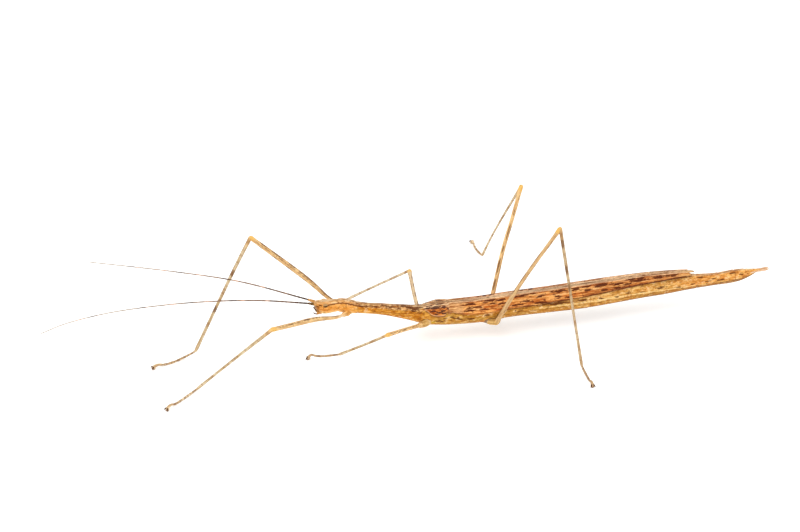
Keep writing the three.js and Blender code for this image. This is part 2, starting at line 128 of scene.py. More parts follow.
# Radii at even steps along each part of a leg, from the trunk outwards
FORE = {
    "coxa": 0.60, "femur": (0.28, 0.31, 0.41, 0.48, 0.48, 0.45, 0.43, 0.40), "tibia": (0.37, 0.31, 0.26, 0.25, 0.28),
    "keel": 1.24,
}
MIDDLE = {
    "coxa": 0.70, "femur": (0.36, 0.34, 0.33, 0.34, 0.38), "tibia": (0.27, 0.23, 0.22, 0.28), "keel": 1.18,
}
HIND = {
    "coxa": 0.66, "femur": (0.42, 0.40, 0.38, 0.36, 0.40), "tibia": (0.28, 0.24, 0.20, 0.19, 0.25), "keel": 1.2,
}
# Each leg has its hip, knee and ankle joints and its toe pad, the bends of its thigh and shin (part of the
# length, shift along X, shift up) and the arch of its foot (part of the length, height).
# ring and slot say which faces of the trunk it grows from.
# tint is how pale it is, and flecks are its dark marks: start and end along it, degrees, half the height in
# degrees. The degrees go up from the leg's side, or from the middle of its FRONT towards +X where edged is true.
FRONT = Vector((-0.2, -0.8, 0.57))
LEGS = {
    "fore_left": {
        "tint": 0.5, "edged": False,
        "flecks": [
            (0.115, 0.14, 62, 9), (0.155, 0.19, 62, 13), (0.28, 0.31, 62, 10), (0.36, 0.44, 60, 8), (0.52, 0.6, 50, 10),
            (0.74, 0.8, 40, 14), (0.3, 0.34, -20, 12),
        ],
        "sizes": FORE, "ring": -14.5, "slot": 10, "hip": (-15.05, -1.42, 9.4), "knee": (-31.0, -16.2, 18.45),
        "femur_bends": [(0.12, 0, -0.38), (0.3, 0, 0.04), (0.46, 0, 0.28), (0.66, 0, 0.15)],
        "tibia_bends": [(0.5, 0, 0.06)], "ankle": (-43.52, -6.4, 0.4), "toe": (-49.75, -11.35),
        "arch": [(0.3, 0.25), (0.55, 0.24), (0.74, 0.32), (0.89, 0.78)],
    },
    "fore_right": {
        "tint": 0.25, "edged": True, "flecks": [
            (0.02, 0.3, 60, 36), (0.31, 0.48, 64, 30), (0.52, 0.6, 64, 28), (0.66, 0.8, 64, 28), (0.84, 0.9, 64, 26),
            (0.05, 0.13, -62, 24), (0.17, 0.24, -62, 24), (0.29, 0.33, -62, 24), (0.38, 0.46, -62, 24),
            (0.55, 0.6, -62, 24), (0.7, 0.76, -62, 24), (0.86, 0.9, -62, 24), (1.3, 1.34, 0, 40),
            (1.62, 1.66, 0, 40),
        ],
        "sizes": {**FORE, "tibia": (0.38, 0.33, 0.30, 0.29, 0.31)}, "ring": -14.5, "slot": 14,
        "hip": (-14.5, 1.4, 9.05), "knee": (-29.05, 19.4, 14.65),
        "femur_bends": [
            (0.08, -0.38, -0.3), (0.15, -0.5, -0.38), (0.22, -0.44, -0.32), (0.31, -0.14, -0.12), (0.5, 0, -0.05)
        ],
        "tibia_bends": [(0.2, -0.17, 0), (0.6, -0.13, 0)], "ankle": (-42.3, 4.1, 1.15), "toe": (-50.5, 1.7),
        "arch": [(0.3, 0.5), (0.55, 0.25), (0.74, 0.32), (0.9, 0.74)],
    },
    "middle_left": {
        "tint": 0.45, "edged": False, "flecks": [
            (0.25, 0.31, 40, 12), (0.48, 0.58, 22, 20), (0.66, 0.71, 6, 22), (0.84, 0.87, -10, 16),
            (0.12, 0.14, -10, 14),
        ],
        "sizes": MIDDLE, "ring": 0.2, "slot": 9, "hip": (-0.95, -2.05, 5.3), "knee": (-9.1, -9.9, 9.6),
        "femur_bends": [(0.6, 0, 0.06)], "tibia_bends": [(0.3, 0, -0.08)],
        "ankle": (-16.6, -3.4, 1.88), "toe": (-22.15, -1.2),
        "arch": [(0.3, 1.4), (0.55, 1.08), (0.75, 1.0), (0.89, 1.15)],
    },
    "middle_right": {
        "tint": 1.0, "edged": True, "flecks": [
            (0.08, 0.2, 40, 30), (0.3, 0.44, 40, 28), (0.54, 0.66, 45, 28), (0.76, 0.84, 45, 26),
        ],
        "sizes": {**MIDDLE, "femur": (0.40, 0.38, 0.37, 0.38, 0.41)}, "ring": 0.2, "slot": 15,
        "hip": (-0.55, 1.95, 5.5), "knee": (0.4, 14.6, 6.2),
        "femur_bends": [(0.4, -0.1, 0)], "tibia_bends": [(0.5, 0, 0.05)],
        "ankle": (-11.1, 15.15, 1.15), "toe": (-17.1, 14.9),
        "arch": [(0.3, 0.65), (0.55, 0.42), (0.75, 0.46), (0.89, 0.84)],
    },
    "hind_left": {
        "tint": 0.0, "edged": True, "flecks": [
            (0.3, 0.37, -58, 34), (0.41, 0.53, -58, 32), (0.56, 0.73, -60, 32), (0.33, 0.36, 58, 26),
            (0.45, 0.49, 60, 30), (0.6, 0.66, 60, 28), (0.8, 0.86, 58, 26), (0.12, 0.14, 40, 20),
            (1.08, 1.13, 0, 60), (1.27, 1.32, 0, 50), (1.41, 1.44, 0, 40),
        ],
        "sizes": {**HIND, "tibia": (0.34, 0.29, 0.25, 0.23, 0.28)}, "ring": 11.9, "slot": 10, "hip": (13.3, -2.6, 4.2),
        "knee": (24.15, -5.05, 25.1),
        "femur_bends": [(0.25, -0.35, 0), (0.45, -0.45, 0), (0.65, -0.38, 0), (0.82, -0.16, 0)],
        "tibia_bends": [(0.5, 0, 0)], "ankle": (26.65, -14.2, 0.45), "toe": (27.0, -20.4),
        "arch": [(0.3, 0.28), (0.55, 0.25), (0.74, 0.34), (0.89, 0.76)],
    },
    "hind_right": {
        "tint": 0.32, "edged": True, "flecks": [
            (0.03, 0.09, -20, 20), (0.14, 0.23, -26, 22), (0.28, 0.39, -20, 22), (0.45, 0.5, -10, 22),
            (0.56, 0.68, -6, 20), (0.76, 0.8, 0, 20), (0.88, 0.92, 24, 18), (0.3, 0.33, 56, 20),
            (0.62, 0.66, 56, 20),
        ],
        "sizes": HIND, "ring": 11.9, "slot": 14, "hip": (13.3, 2.6, 4.2), "knee": (21.15, 11.95, 24.15),
        "femur_bends": [(0.3, -0.25, 0), (0.5, -0.36, 0), (0.72, -0.1, 0)],
        "tibia_bends": [(0.3, -0.15, 0), (0.65, -0.3, 0)], "ankle": (17.0, 24.2, 1.05), "toe": (16.4, 30.45),
        "arch": [(0.3, 0.55), (0.55, 0.28), (0.74, 0.3), (0.89, 0.72)],
    },
}


# ---------------------------------------------------------------- small tools
def lerp(a, b, t):
    return a + (b - a) * t


def clamp(x, low=0.0, high=1.0):
    return min(max(x, low), high)


def between(values, t):
    """The value at t, from 0 to 1, of a line through evenly spaced values."""
    k = t * (len(values) - 1)
    i = min(int(k), len(values) - 2)
    return lerp(values[i], values[i + 1], k - i)


def ease(low, high, x):
    t = clamp((x - low) / (high - low))
    return t * t * (3 - 2 * t)


def degrees_up(sine):
    return math.degrees(math.asin(clamp(sine, -1, 1)))


def bell(x, centre, half):
    return math.exp(-(((x - centre) / half) ** 2))


def put_mm(point):
    return (Vector(point) + SHIFT) * MM


def smooth(rows):
    """A smooth function through a table's rows, whose first column is the place."""
    xs = [row[0] for row in rows]
    ys = [Vector(row[1:]) if len(row) > 2 else Vector((row[1], 0)) for row in rows]
    last = len(xs) - 1

    def slope(i):
        a, b = max(i - 1, 0), min(i + 1, last)
        return (ys[b] - ys[a]) / (xs[b] - xs[a])

    def at(x):
        x = clamp(x, xs[0], xs[-1])
        i = max(j for j in range(last) if xs[j] <= x) if x > xs[0] else 0
        h = xs[i + 1] - xs[i]
        t = (x - xs[i]) / h
        return (
            ys[i] * (2 * t**3 - 3 * t**2 + 1) + slope(i) * h * (t**3 - 2 * t**2 + t)
            + ys[i + 1] * (3 * t**2 - 2 * t**3) + slope(i + 1) * h * (t**3 - t**2)
        )

    return at


def route(points):
    """A smooth line through points: at(t) with t from 0 to 1 by length, and the length."""
    rows, length = [], 0.0
    points = [Vector(p) for p in points]
    for i, p in enumerate(points):
        length += (p - points[i - 1]).length if i else 0.0
        rows.append((length, *p))
    line = smooth(rows)
    return (lambda t: line(t * length)), length


def bowed(start, end, bends):
    start, end = Vector(start), Vector(end)
    return [start, *[start.lerp(end, t) + Vector((along, 0, up)) for t, along, up in bends], end]


outline_at, flank_at, sink_at, head_at = smooth(OUTLINE), smooth(FLANK), smooth(SINK), smooth(HEAD)
ledge_table = smooth(LEDGE)


def ledge_at(x):
    return ledge_table(x)[0]


# ---------------------------------------------------------------- making tools
def deselect():
    if bpy.context.object and bpy.context.object.mode != "OBJECT":
        bpy.ops.object.mode_set(mode="OBJECT")
    bpy.ops.object.select_all(action="DESELECT")


def named(name):
    """The object just added, named, with its place moved into its mesh."""
    piece = bpy.context.object
    piece.name = piece.data.name = name
    bpy.ops.object.transform_apply(location=True, rotation=True, scale=True)
    return piece


def only(piece):
    deselect()
    piece.select_set(True)
    bpy.context.view_layer.objects.active = piece


def apply_modifier(piece, kind, **settings):
    only(piece)
    modifier = piece.modifiers.new(kind.title(), kind)
    for key, value in settings.items():
        setattr(modifier, key, value)
    bpy.ops.object.modifier_apply(modifier=modifier.name)


def join(pieces, name):
    deselect()
    for piece in pieces:
        piece.select_set(True)
    bpy.context.view_layer.objects.active = pieces[0]
    if len(pieces) > 1:
        bpy.ops.object.join()
    piece = bpy.context.object
    piece.name = piece.data.name = name
    return piece


def finish_piece(piece, material, slot, *nodes, angle=None):
    only(piece)
    if angle is None:
        bpy.ops.object.shade_smooth()
    else:
        bpy.ops.object.shade_smooth_by_angle(angle=math.radians(angle))
    if material:
        piece.data.materials.clear()
        piece.data.materials.append(material)
    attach(piece, "root")
    if nodes:
        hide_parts(*nodes)
    return piece


def face_out(piece):
    only(piece)
    bpy.ops.object.mode_set(mode="EDIT")
    bpy.ops.mesh.select_all(action="SELECT")
    bpy.ops.mesh.normals_make_consistent(inside=False)
    bpy.ops.object.mode_set(mode="OBJECT")
    # a long thin sheet can come out inside out, which its signed volume shows
    piece.data.calc_loop_triangles()
    corners = [v.co for v in piece.data.vertices]
    volume = sum(
        corners[a].dot(corners[b].cross(corners[c])) for a, b, c in (t.vertices for t in piece.data.loop_triangles)
    )
    if volume < 0:
        piece.data.flip_normals()


# A ring of so many sides shrinks to this part of its width when the tube is subdivided
SHRINK = {6: 0.83, 7: 0.87, 8: 0.902, 16: 0.9746}


class Loft:
    """A tube drawn out ring by ring from the selected faces. Two attributes keep each vertex's place
    on it: grain (along, across and up, in mm) and mark (along, degrees up from the side, which limb)."""

    def __init__(self, piece):
        self.piece = piece
        self.mesh = piece.data
        self.bm = bmesh.from_edit_mesh(self.mesh)
        layers = self.bm.verts.layers.float_vector
        self.grain = layers.get("grain") or layers.new("grain")
        self.mark = layers.get("mark") or layers.new("mark")

    def chosen(self):
        return [v for v in self.bm.verts if v.select]

    def draw_out(self, step):
        bpy.ops.mesh.extrude_region_move(TRANSFORM_OT_translate={"value": tuple(step)})
        self.bm = bmesh.from_edit_mesh(self.mesh)
        layers = self.bm.verts.layers.float_vector
        self.grain, self.mark = layers["grain"], layers["mark"]
        return self.chosen()

    def update(self):
        bmesh.update_edit_mesh(self.mesh)


def tangents_of(centres):
    last = len(centres) - 1
    return [(centres[min(i + 1, last)] - centres[max(i - 1, 0)]).normalized() for i in range(last + 1)]


def frames_of(tangents, first_up=(0, 0, 1)):
    """Side, up and ahead vectors that turn no more than the line does."""
    up = Vector(first_up)
    frames = []
    for i, tangent in enumerate(tangents):
        if i:
            up = tangents[i - 1].rotation_difference(tangent) @ up
        side = tangent.cross(up).normalized()
        up = side.cross(tangent).normalized()
        frames.append((side, up, tangent))
    return frames


def slots_of(ring, axes, sides):
    """Each vertex of a ring with its slot round it, in order, and the vertices inside the ring."""
    middle = sum((v.co for v in ring), Vector()) / len(ring)
    reach = max((v.co - middle).length for v in ring)
    rim = [v for v in ring if (v.co - middle).length > 0.4 * reach or len(ring) == sides]
    inner = [v for v in ring if v not in rim]

    def turn(v):
        away = v.co - middle
        return math.atan2(away.dot(axes[1]), away.dot(axes[0])) / math.tau * sides

    turns = sorted(((turn(v), v.index, v) for v in rim), key=lambda item: item[:2])
    start = round(sum(t - i for i, (t, _, _) in enumerate(turns)) / len(turns))
    return [(v, start + i) for i, (_, _, v) in enumerate(turns)], inner


def place_ring(loft, ring, station, axes, sides, before=None):
    """Sets a ring's vertices on their section. A station is centre, radius and place along the limb, and
    then, where they are given, keel (how square), tall (height by width), travelled (mm) and limb."""
    centre, radius, along = Vector(station[0]), station[1], station[2]
    keel, tall, travelled, limb = (*station[3:], *(1.0, 1.0, along, 1.0)[len(station) - 3:])
    rim, inner = slots_of(ring, before or axes, sides)
    for v, slot in rim:
        angle = slot / sides * math.tau
        swell = radius * (1 + (keel - 1) * (abs(math.sin(2 * angle)) - 0.5))
        spot = centre + (axes[0] * math.cos(angle) + axes[1] * math.sin(angle) * tall) * swell
        rise = degrees_up((spot - centre).normalized().z)
        v.co = put_mm(spot)
        v[loft.grain] = Vector((travelled, swell * math.cos(angle), swell * math.sin(angle)))
        v[loft.mark] = Vector((along, rise, limb))
    for v in inner:
        v.co = put_mm(centre)
        v[loft.grain] = Vector((along, 0, 0))
        v[loft.mark] = Vector((along, 0, limb))


def draw_limb(loft, stations, sides, frames, before=None):
    """Draws the selected faces out through a limb's stations."""
    for i, station in enumerate(stations):
        step = (Vector(station[0]) - Vector(stations[max(i - 1, 0)][0])) * MM
        ring = loft.draw_out(step)
        place_ring(loft, ring, station, frames[i], sides, before if i == 0 else frames[i - 1])
        loft.update()


def tube(name, stations, sides, first_up=(0, 0, 1)):
    """A closed tube of its own through stations, from one circle drawn out."""
    centres = [Vector(s[0]) for s in stations]
    frames = frames_of(tangents_of(centres), first_up)
    deselect()
    bpy.ops.mesh.primitive_circle_add(
        vertices=sides, radius=stations[0][1] * MM, fill_type="NGON", location=put_mm(centres[0]),
        rotation=Matrix(frames[0]).transposed().to_euler(),
    )
    piece = named(name)
    bpy.ops.object.mode_set(mode="EDIT")
    bpy.ops.mesh.select_all(action="SELECT")
    loft = Loft(piece)
    place_ring(loft, loft.chosen(), stations[0], frames[0], sides)
    loft.update()
    draw_limb(loft, stations[1:], sides, frames[1:], frames[0])
    bpy.ops.object.mode_set(mode="OBJECT")
    face_out(piece)
    return piece


# ---------------------------------------------------------------- the skin
TRUNK_SIDES = 16
LIMB_SIDES = 8
LEG_SCALE = 20  # a thigh or a shin counts as so many mm long where its flecks are drawn
FOOT_JOINTS = (0.0, 0.42, 0.6, 0.72, 0.8, 0.93)  # as parts of the foot's length


def trunk_form(x, s):
    """Axis height, half width and half height of the trunk at x, for a section's height s."""
    if x <= NECK:
        height, half, rise, drop = head_at(x)
        return height, half, rise if s > 0 else drop
    if x < WING_START:
        return tuple(outline_at(x))
    below = flank_at(x)
    if x > WING_END:
        return tuple(below)
    above = outline_at(x) - sink_at(x)
    turn = degrees_up(s)
    share = ease(ledge_at(x) - 2, ledge_at(x) + 8, turn)
    return tuple(below.lerp(above, share))


def trunk_spot(x, angle, out=0.0):
    c, s = math.cos(angle), math.sin(angle)
    height, half, tall = trunk_form(x, s)
    around = degrees_up(s)
    if x > NECK:
        out += 0.035 * bell(around, -4, 12) - 0.03 * bell(around, -38, 16)  # fold along the side
        out += 0.03 * bell(around, 90, 14) * ease(-16, -14, x)  # low keel along the back
    else:
        out += head_relief(x, around)
    return Vector((x, c * (half + out), height + s * (tall + out)))


def head_relief(x, around):
    """Rims of the eyes and feelers, the cheeks and the brow's shallow groove."""
    eye = math.hypot((x + 18.65) / 0.75, (around - 38) / 32)
    rim = 0.05 * bell(eye, 1.0, 0.28)
    cheek = 0.05 * bell(x, -17.7, 0.9) * bell(around, -5, 30)
    socket = 0.07 * bell(x, -20.1, 0.3) * bell(around, 40, 30)
    groove = -0.06 * bell(around, 90, 16) * bell(x, -19.3, 1.3)
    jaw = -0.08 * bell(x, -19.3, 0.22) * bell(around, -30, 24)
    return rim + cheek + socket + groove + jaw


def spread(low, high, step):
    count = max(1, round((high - low) / step))
    return [(lerp(low, high, (i + 0.5) / count), 0.0) for i in range(count)]


def trunk_rings():
    """Places of the trunk's rings along X, and how far each stands out."""
    head = [-20.38, -20.28, -20.12, -19.95, -19.7, -19.4, -19.05, -18.65, -18.25, -17.85, -17.45, -17.05, -16.75]
    rings = [(x, 0.0) for x in head]
    rings += [(-16.52, 0.01), (-16.36, -0.04), (-16.18, -0.07), (-16.02, -0.03), (-15.86, 0.02), (-15.2, 0), (-14.5, 0)]
    rings += [(-13.8, 0), (-13.3, 0)]
    coxae = [[-0.55, 0.2, 0.95], [11.05, 11.9, 12.75]]
    for n, (x, depth) in enumerate(JOINTS):
        rings += [(x - 0.2, 0.03), (x - 0.05, -0.6 * depth), (x + 0.08, -1.7 * depth), (x + 0.26, 0.0)]
        low = x + 0.26
        if n + 1 == len(JOINTS):
            break
        high = JOINTS[n + 1][0] - 0.2
        for trio in coxae:
            if low < trio[0] and trio[-1] < high:
                gap = (trio[1] - trio[0]) / 2
                rings += spread(low + gap, trio[0] - gap, 0.95) if trio[0] - low > 1.2 else []
                rings += [(place, 0.0) for place in trio]
                low = trio[-1] + gap
        step = 0.75 if x < -5 else 1.0 if x < 50 else 0.6
        rings += spread(low, high, step)
    return rings + [(64.8, 0), (65.15, 0), (65.3, -0.03)]


def leg_stations(leg, limb):
    """Centres, radii and places along a leg, from where it leaves the trunk to the toe pad."""
    sizes = leg["sizes"]
    hip, knee, ankle = (Vector(leg[key]) for key in ("hip", "knee", "ankle"))
    root = trunk_spot(leg["ring"], leg["slot"] / TRUNK_SIDES * math.tau)
    femur, femur_length = route(bowed(hip, knee, leg["femur_bends"]))
    tibia, tibia_length = route(bowed(knee, ankle, leg["tibia_bends"]))
    toe = Vector((*leg["toe"], 0))
    along = lambda t, height: Vector((lerp(ankle.x, toe.x, t), lerp(ankle.y, toe.y, t), height))
    foot, _ = route(
        [ankle, *[along(t, height) for t, height in leg["arch"]], along(0.975, 0.6), along(1.0, 0.06)]
    )
    coxa, keel = sizes["coxa"], sizes["keel"]

    def radius(key, t):
        return between(sizes[key], clamp(t))

    def corner(before, middle, after, shares):
        control = middle * 2 - (before + after) / 2
        return [before * (1 - t) ** 2 + control * 2 * t * (1 - t) + after * t**2 for t in shares]

    out = hip - root
    stations = [
        (root + out * 0.12, coxa * 1.04, -1.0), (root + out * 0.34, coxa, -0.8), (root + out * 0.62, coxa * 0.94, -0.6),
    ]
    near, far = hip - out.normalized() * 0.22, femur(0.62 / femur_length)
    base = radius("femur", 0.04)
    for spot, size, place in zip(
        corner(near, hip, far, (0.0, 0.34, 0.68, 1.0)), (0.86, 0.7, 0.6, 0.55), (-0.4, -0.3, -0.2, -0.1)
    ):
        stations.append((spot, lerp(base, coxa, size) * 0.96, place))
    first = 1.0 / femur_length
    stations += [(femur(first), base * 0.93, 0.0), (femur(first + 0.25 / femur_length), base * 1.08, 0.03, 1.05)]
    for t in (0.12, 0.2, 0.3, 0.42, 0.54, 0.66, 0.77, 0.86, 0.92):
        stations.append((femur(t), radius("femur", t), t, keel))
    bulge, bend = radius("femur", 1.0), 0.5
    before, after = femur(1 - bend / femur_length), tibia(bend / tibia_length)
    stations.append((femur(1 - 0.95 / femur_length), bulge * 1.06, 0.955, 1.1))
    for t, spot in zip((0.0, 0.3, 0.55, 0.8, 1.0), corner(before, knee, after, (0.0, 0.28, 0.5, 0.72, 1.0))):
        stations.append((spot, lerp(bulge * 1.1, radius("tibia", 0) * 0.98, ease(0.1, 0.95, t)), 0.97 + 0.05 * t))
    for t in (0.07, 0.16, 0.3, 0.45, 0.6, 0.75, 0.88):
        stations.append((tibia(t), radius("tibia", t) * (0.94 if t < 0.1 else 1), 1 + t, lerp(1, keel, 0.7)))
    tip = radius("tibia", 1.0)
    stations += [(tibia(0.96), tip * 1.08, 1.97), (tibia(0.995), tip * 0.95, 1.99)]
    gap = 0.012
    for n, (start, end) in enumerate(zip(FOOT_JOINTS, FOOT_JOINTS[1:])):
        for t, size in ((start + gap, 0.17), (lerp(start, end, 0.4), 0.19), (end - gap, 0.235)):
            stations.append((foot(t), size * (1.25 if n == 4 else 1), 2 + t))
    stations += [
        (foot(0.955), 0.3, 2.95), (foot(0.975), 0.33, 2.97), (along(1.0, 0.16), 0.34, 2.985),
        (along(1.0, 0.02), 0.27, 3.0),
    ]
    travelled, done = 0.0, []
    for i, station in enumerate(stations):
        travelled += (Vector(station[0]) - Vector(stations[i - 1][0])).length if i else 0.0
        keel_here = station[3] if len(station) > 3 else 1.0
        done.append((station[0], station[1] / SHRINK[LIMB_SIDES], station[2], keel_here, 1.0, travelled, limb))
    return done


def build_skin(levels):
    """Draws the trunk out from the brow to the tail tip, then each leg out of its faces."""
    rings = trunk_rings()
    first = rings[0][0]
    deselect()
    bpy.ops.mesh.primitive_circle_add(
        vertices=TRUNK_SIDES, radius=0.3 * MM, fill_type="NGON", location=put_mm((first - 0.1, 0, 11.4)),
        rotation=(0, math.pi / 2, 0),
    )
    piece = named("skin")
    bpy.ops.object.mode_set(mode="EDIT")
    bpy.ops.mesh.select_all(action="SELECT")
    loft = Loft(piece)
    facing = (Vector((0, 1, 0)), Vector((0, 0, 1)), Vector((-1, 0, 0)))

    def place(ring, x, out, share=1.0):
        for v, slot in slots_of(ring, facing, TRUNK_SIDES)[0]:
            angle = slot / TRUNK_SIDES * math.tau
            spot = trunk_spot(x, angle, out)
            middle = Vector((x, 0, trunk_form(x, 0)[0]))
            spot = middle + (spot - middle) * (share / SHRINK[TRUNK_SIDES])
            v.co = put_mm(spot)
            v[loft.grain] = spot
            v[loft.mark] = Vector((x, degrees_up(math.sin(angle)), 0))

    place(loft.chosen(), first - 0.1, 0.0, 0.62)
    loft.update()
    before = first - 0.1
    for x, out in rings:
        ring = loft.draw_out(((x - before) * MM, 0, 0))
        place(ring, x, out)
        loft.update()
        before = x
    for n, leg in enumerate(LEGS.values()):
        stations = leg_stations(leg, 1.0 + n)
        root = put_mm(trunk_spot(leg["ring"], leg["slot"] / TRUNK_SIDES * math.tau))
        bpy.ops.mesh.select_all(action="DESELECT")
        bm = bmesh.from_edit_mesh(piece.data)
        seed = min(bm.verts, key=lambda v: (v.co - root).length)
        for face in seed.link_faces:
            face.select = True
        bm.select_flush_mode()
        bmesh.update_edit_mesh(piece.data)
        loft = Loft(piece)
        frames = frames_of(tangents_of([Vector(s[0]) for s in stations]), (1, 0, 0.05))
        draw_limb(loft, stations, LIMB_SIDES, frames, frames[0])
    bpy.ops.object.mode_set(mode="OBJECT")
    face_out(piece)
    apply_modifier(piece, "SUBSURF", levels=levels, render_levels=levels)
    piece.data.attributes.new("fleck", "FLOAT", "POINT")
    fleck, mark = piece.data.attributes["fleck"], piece.data.attributes["mark"].data
    legs = list(LEGS.values())
    edges = [(Vector(leg["knee"]) - Vector(leg["hip"])).cross(FRONT).normalized() for leg in legs]
    edges = [edge if edge.x > 0 else -edge for edge in edges]
    for v in piece.data.vertices:
        x, around, limb = mark[v.index].vector
        if limb < 0.5:
            fleck.data[v.index].value = fleck_field(SIDE_FLECKS, x, around)
            continue
        number = clamp(round(limb) - 1, 0, 5)
        leg = legs[number]
        share = clamp(limb)  # below 1 only where the skin passes from trunk to leg
        turn = degrees_up(v.normal.dot(edges[number]))
        marks = [(start * LEG_SCALE, end * LEG_SCALE, rise, half) for start, end, rise, half in leg["flecks"]]
        depth = fleck_field(marks, x * LEG_SCALE, turn if leg["edged"] else around)
        fleck.data[v.index].value = depth * share
        mark[v.index].vector = (x, around, share + leg["tint"] * share)
    return piece


# ---------------------------------------------------------------- wings
VEINS = (0.10, 0.22, 0.335, 0.45, 0.56, 0.655, 0.80, 0.90)  # from the lower edge to the back's middle
FOLD = 0.72  # where the side panel turns over into the strip along the back
# Flecks of a closed wing: where each starts and ends along X, degrees up, half its height in degrees
WING_FLECKS = [
    (37.6, 43.0, 69, 3), (43.6, 48.4, 67, 3), (43.6, 46.4, 42, 3.5), (46.8, 48.6, 40, 3),
    (7.4, 9.6, 60, 5), (11.0, 13.6, 68, 4.5), (17.0, 19.6, 66, 5), (24.0, 27.2, 65, 5.5), (28.0, 29.6, 62, 5),
    (32.4, 35.1, 62, 6), (35.6, 37.6, 58, 5), (39.2, 42.2, 60, 5.5), (43.9, 45.4, 60, 4), (13.9, 15.2, 60, 3.5),
    (8.0, 10.6, 42, 4), (12.2, 13.2, 50, 3), (13.9, 15.2, 43, 3.5), (18.6, 19.7, 38, 4), (24.5, 25.6, 42, 4),
    (21.2, 22.4, 52, 4), (33.5, 34.8, 40, 3.5), (36.1, 37.2, 42, 3.5), (30.2, 31.4, 50, 3), (38.0, 39.2, 50, 3),
    (7.3, 9.2, 31, 3.5), (10.6, 11.8, 30, 2.5), (16.6, 18.2, 28, 3), (20.8, 23.2, 24, 3.5), (26.4, 27.8, 33, 3),
    (20.2, 21.0, 70, 3), (30.0, 31.6, 66, 3), (46.6, 48.4, 62, 3),
]
# Flecks of the trunk: its sides, its back in front of the wings, and its tail
SIDE_FLECKS = [
    (44.4, 46.0, 16, 4), (36.3, 37.1, 2, 4), (37.8, 38.9, 14, 3.5), (51.2, 52.0, 12, 4), (52.6, 53.4, 58, 6),
    (55.6, 56.4, 38, 6), (56.7, 57.5, 18, 6), (58.8, 60.0, 58, 7), (22.0, 28.0, 12, 4.5),
    (29.0, 30.6, 12, 4), (54.3, 54.9, 22, 4), (41.0, 41.8, 6, 3), (48.4, 49.0, 4, 3.5), (7.8, 8.8, -6, 4),
    (11.0, 11.8, 3, 3.5), (1.6, 2.6, -10, 4), (17.4, 18.4, -4, 3), (33.0, 33.8, 8, 3), (61.0, 61.6, 30, 6),
    (-5.0, -3.2, 72, 5), (-3.8, -1.0, 72, 8), (-4.4, -2.6, 82, 5), (-2.6, -0.9, 60, 5), (-19.8, -19.4, 38, 7),
    (-20.5, -20.1, 18, 9), (-8.4, -7.2, 66, 6), (-6.8, -5.6, 64, 6), (-10.2, -9.0, 52, 5), (-1.5, -0.2, 74, 6),
    (-9.4, -8.6, 42, 4), (-5.4, -4.6, 50, 4), (-11.6, -10.9, 60, 4), (-2.6, -1.8, 46, 4), (-12.2, -10.6, 45, 4),
    (4.7, 5.2, 9, 2), (5.1, 5.7, 4, 2), (5.6, 6.3, -1, 2), (6.3, 6.8, -5, 2), (5.8, 6.2, 7, 2), (3.4, 3.8, 4, 2),
    (13.8, 14.8, -8, 3), (2.8, 3.2, -14, 3),
]
# Flecks of a fore wing
TEGMEN_FLECKS = [
    (0.9, 2.9, 58, 6), (-0.1, 1.0, 62, 3), (3.1, 4.2, 56, 4), (4.3, 4.9, 48, 8), (1.2, 1.7, 44, 3), (2.2, 2.8, 34, 3),
    (3.0, 3.5, 40, 3),
    (1.7, 2.2, 26, 3), (3.3, 3.8, 28, 3), (0.5, 1.1, 74, 3), (2.0, 3.4, 76, 3),
]


def fleck_field(flecks, x, around):
    """How deep a place lies in the nearest fleck: 1 at its middle, about 0.5 at its edge, 0 far off."""
    best = 0.0
    for start, end, rise, half in flecks:
        reach = (end - start) / 2
        away = math.hypot((x - (start + end) / 2) / (reach + 0.25), (around - rise) / (half + 1.5))
        best = max(best, 1.0 - 0.5 * away)
    return best


def wing_sheet(name, steps, across, surface, thickness, flecks=WING_FLECKS):
    """A bent sheet: a grid laid out by surface(u, v), given its thickness inwards."""
    deselect()
    bpy.ops.mesh.primitive_grid_add(x_subdivisions=steps, y_subdivisions=across, size=1)
    piece = named(name)
    for key, kind in (("grain", "FLOAT_VECTOR"), ("mark", "FLOAT_VECTOR"), ("fleck", "FLOAT")):
        piece.data.attributes.new(key, kind, "POINT")
    grain, mark, fleck = (piece.data.attributes[key] for key in ("grain", "mark", "fleck"))
    for v in piece.data.vertices:
        u, w = v.co.x + 0.5, v.co.y + 0.5
        spot, x, around = surface(u, w)
        v.co = put_mm(spot)
        grain.data[v.index].vector = (x, around * 0.045, w)
        mark.data[v.index].vector = (x, around, w)
        fleck.data[v.index].value = fleck_field(flecks, x, around)
    middle = piece.data.polygons[len(piece.data.polygons) // 2]
    if middle.normal.dot(middle.center - put_mm((middle.center.x / MM - SHIFT.x, 0, 6.2))) < 0:
        piece.data.flip_normals()
    thick = thickness * MM
    apply_modifier(piece, "SOLIDIFY", thickness=thick, offset=-1.0, use_even_offset=False)
    face_out(piece)
    return piece


def wing_point(x, edge, v, side, sunk=0.0):
    """A point of a closed wing's outside, with its veins, its fold and its curled lower edge."""
    around = lerp(edge, 90 - 0.6, v)
    height, half, tall = outline_at(x)
    lift = -sunk + 0.06 * bell(v, FOLD, 0.05) - 0.05 * bell(v, 0.85, 0.07) + 0.05 * bell(v, 0.0, 0.06)
    for place in VEINS:
        lift += 0.028 * bell(v, place, 0.018)
    a = math.radians(around)
    y = side * max(math.cos(a) * (half + lift), 0.012)
    return Vector((x, y, height + math.sin(a) * (tall + lift))), x, around


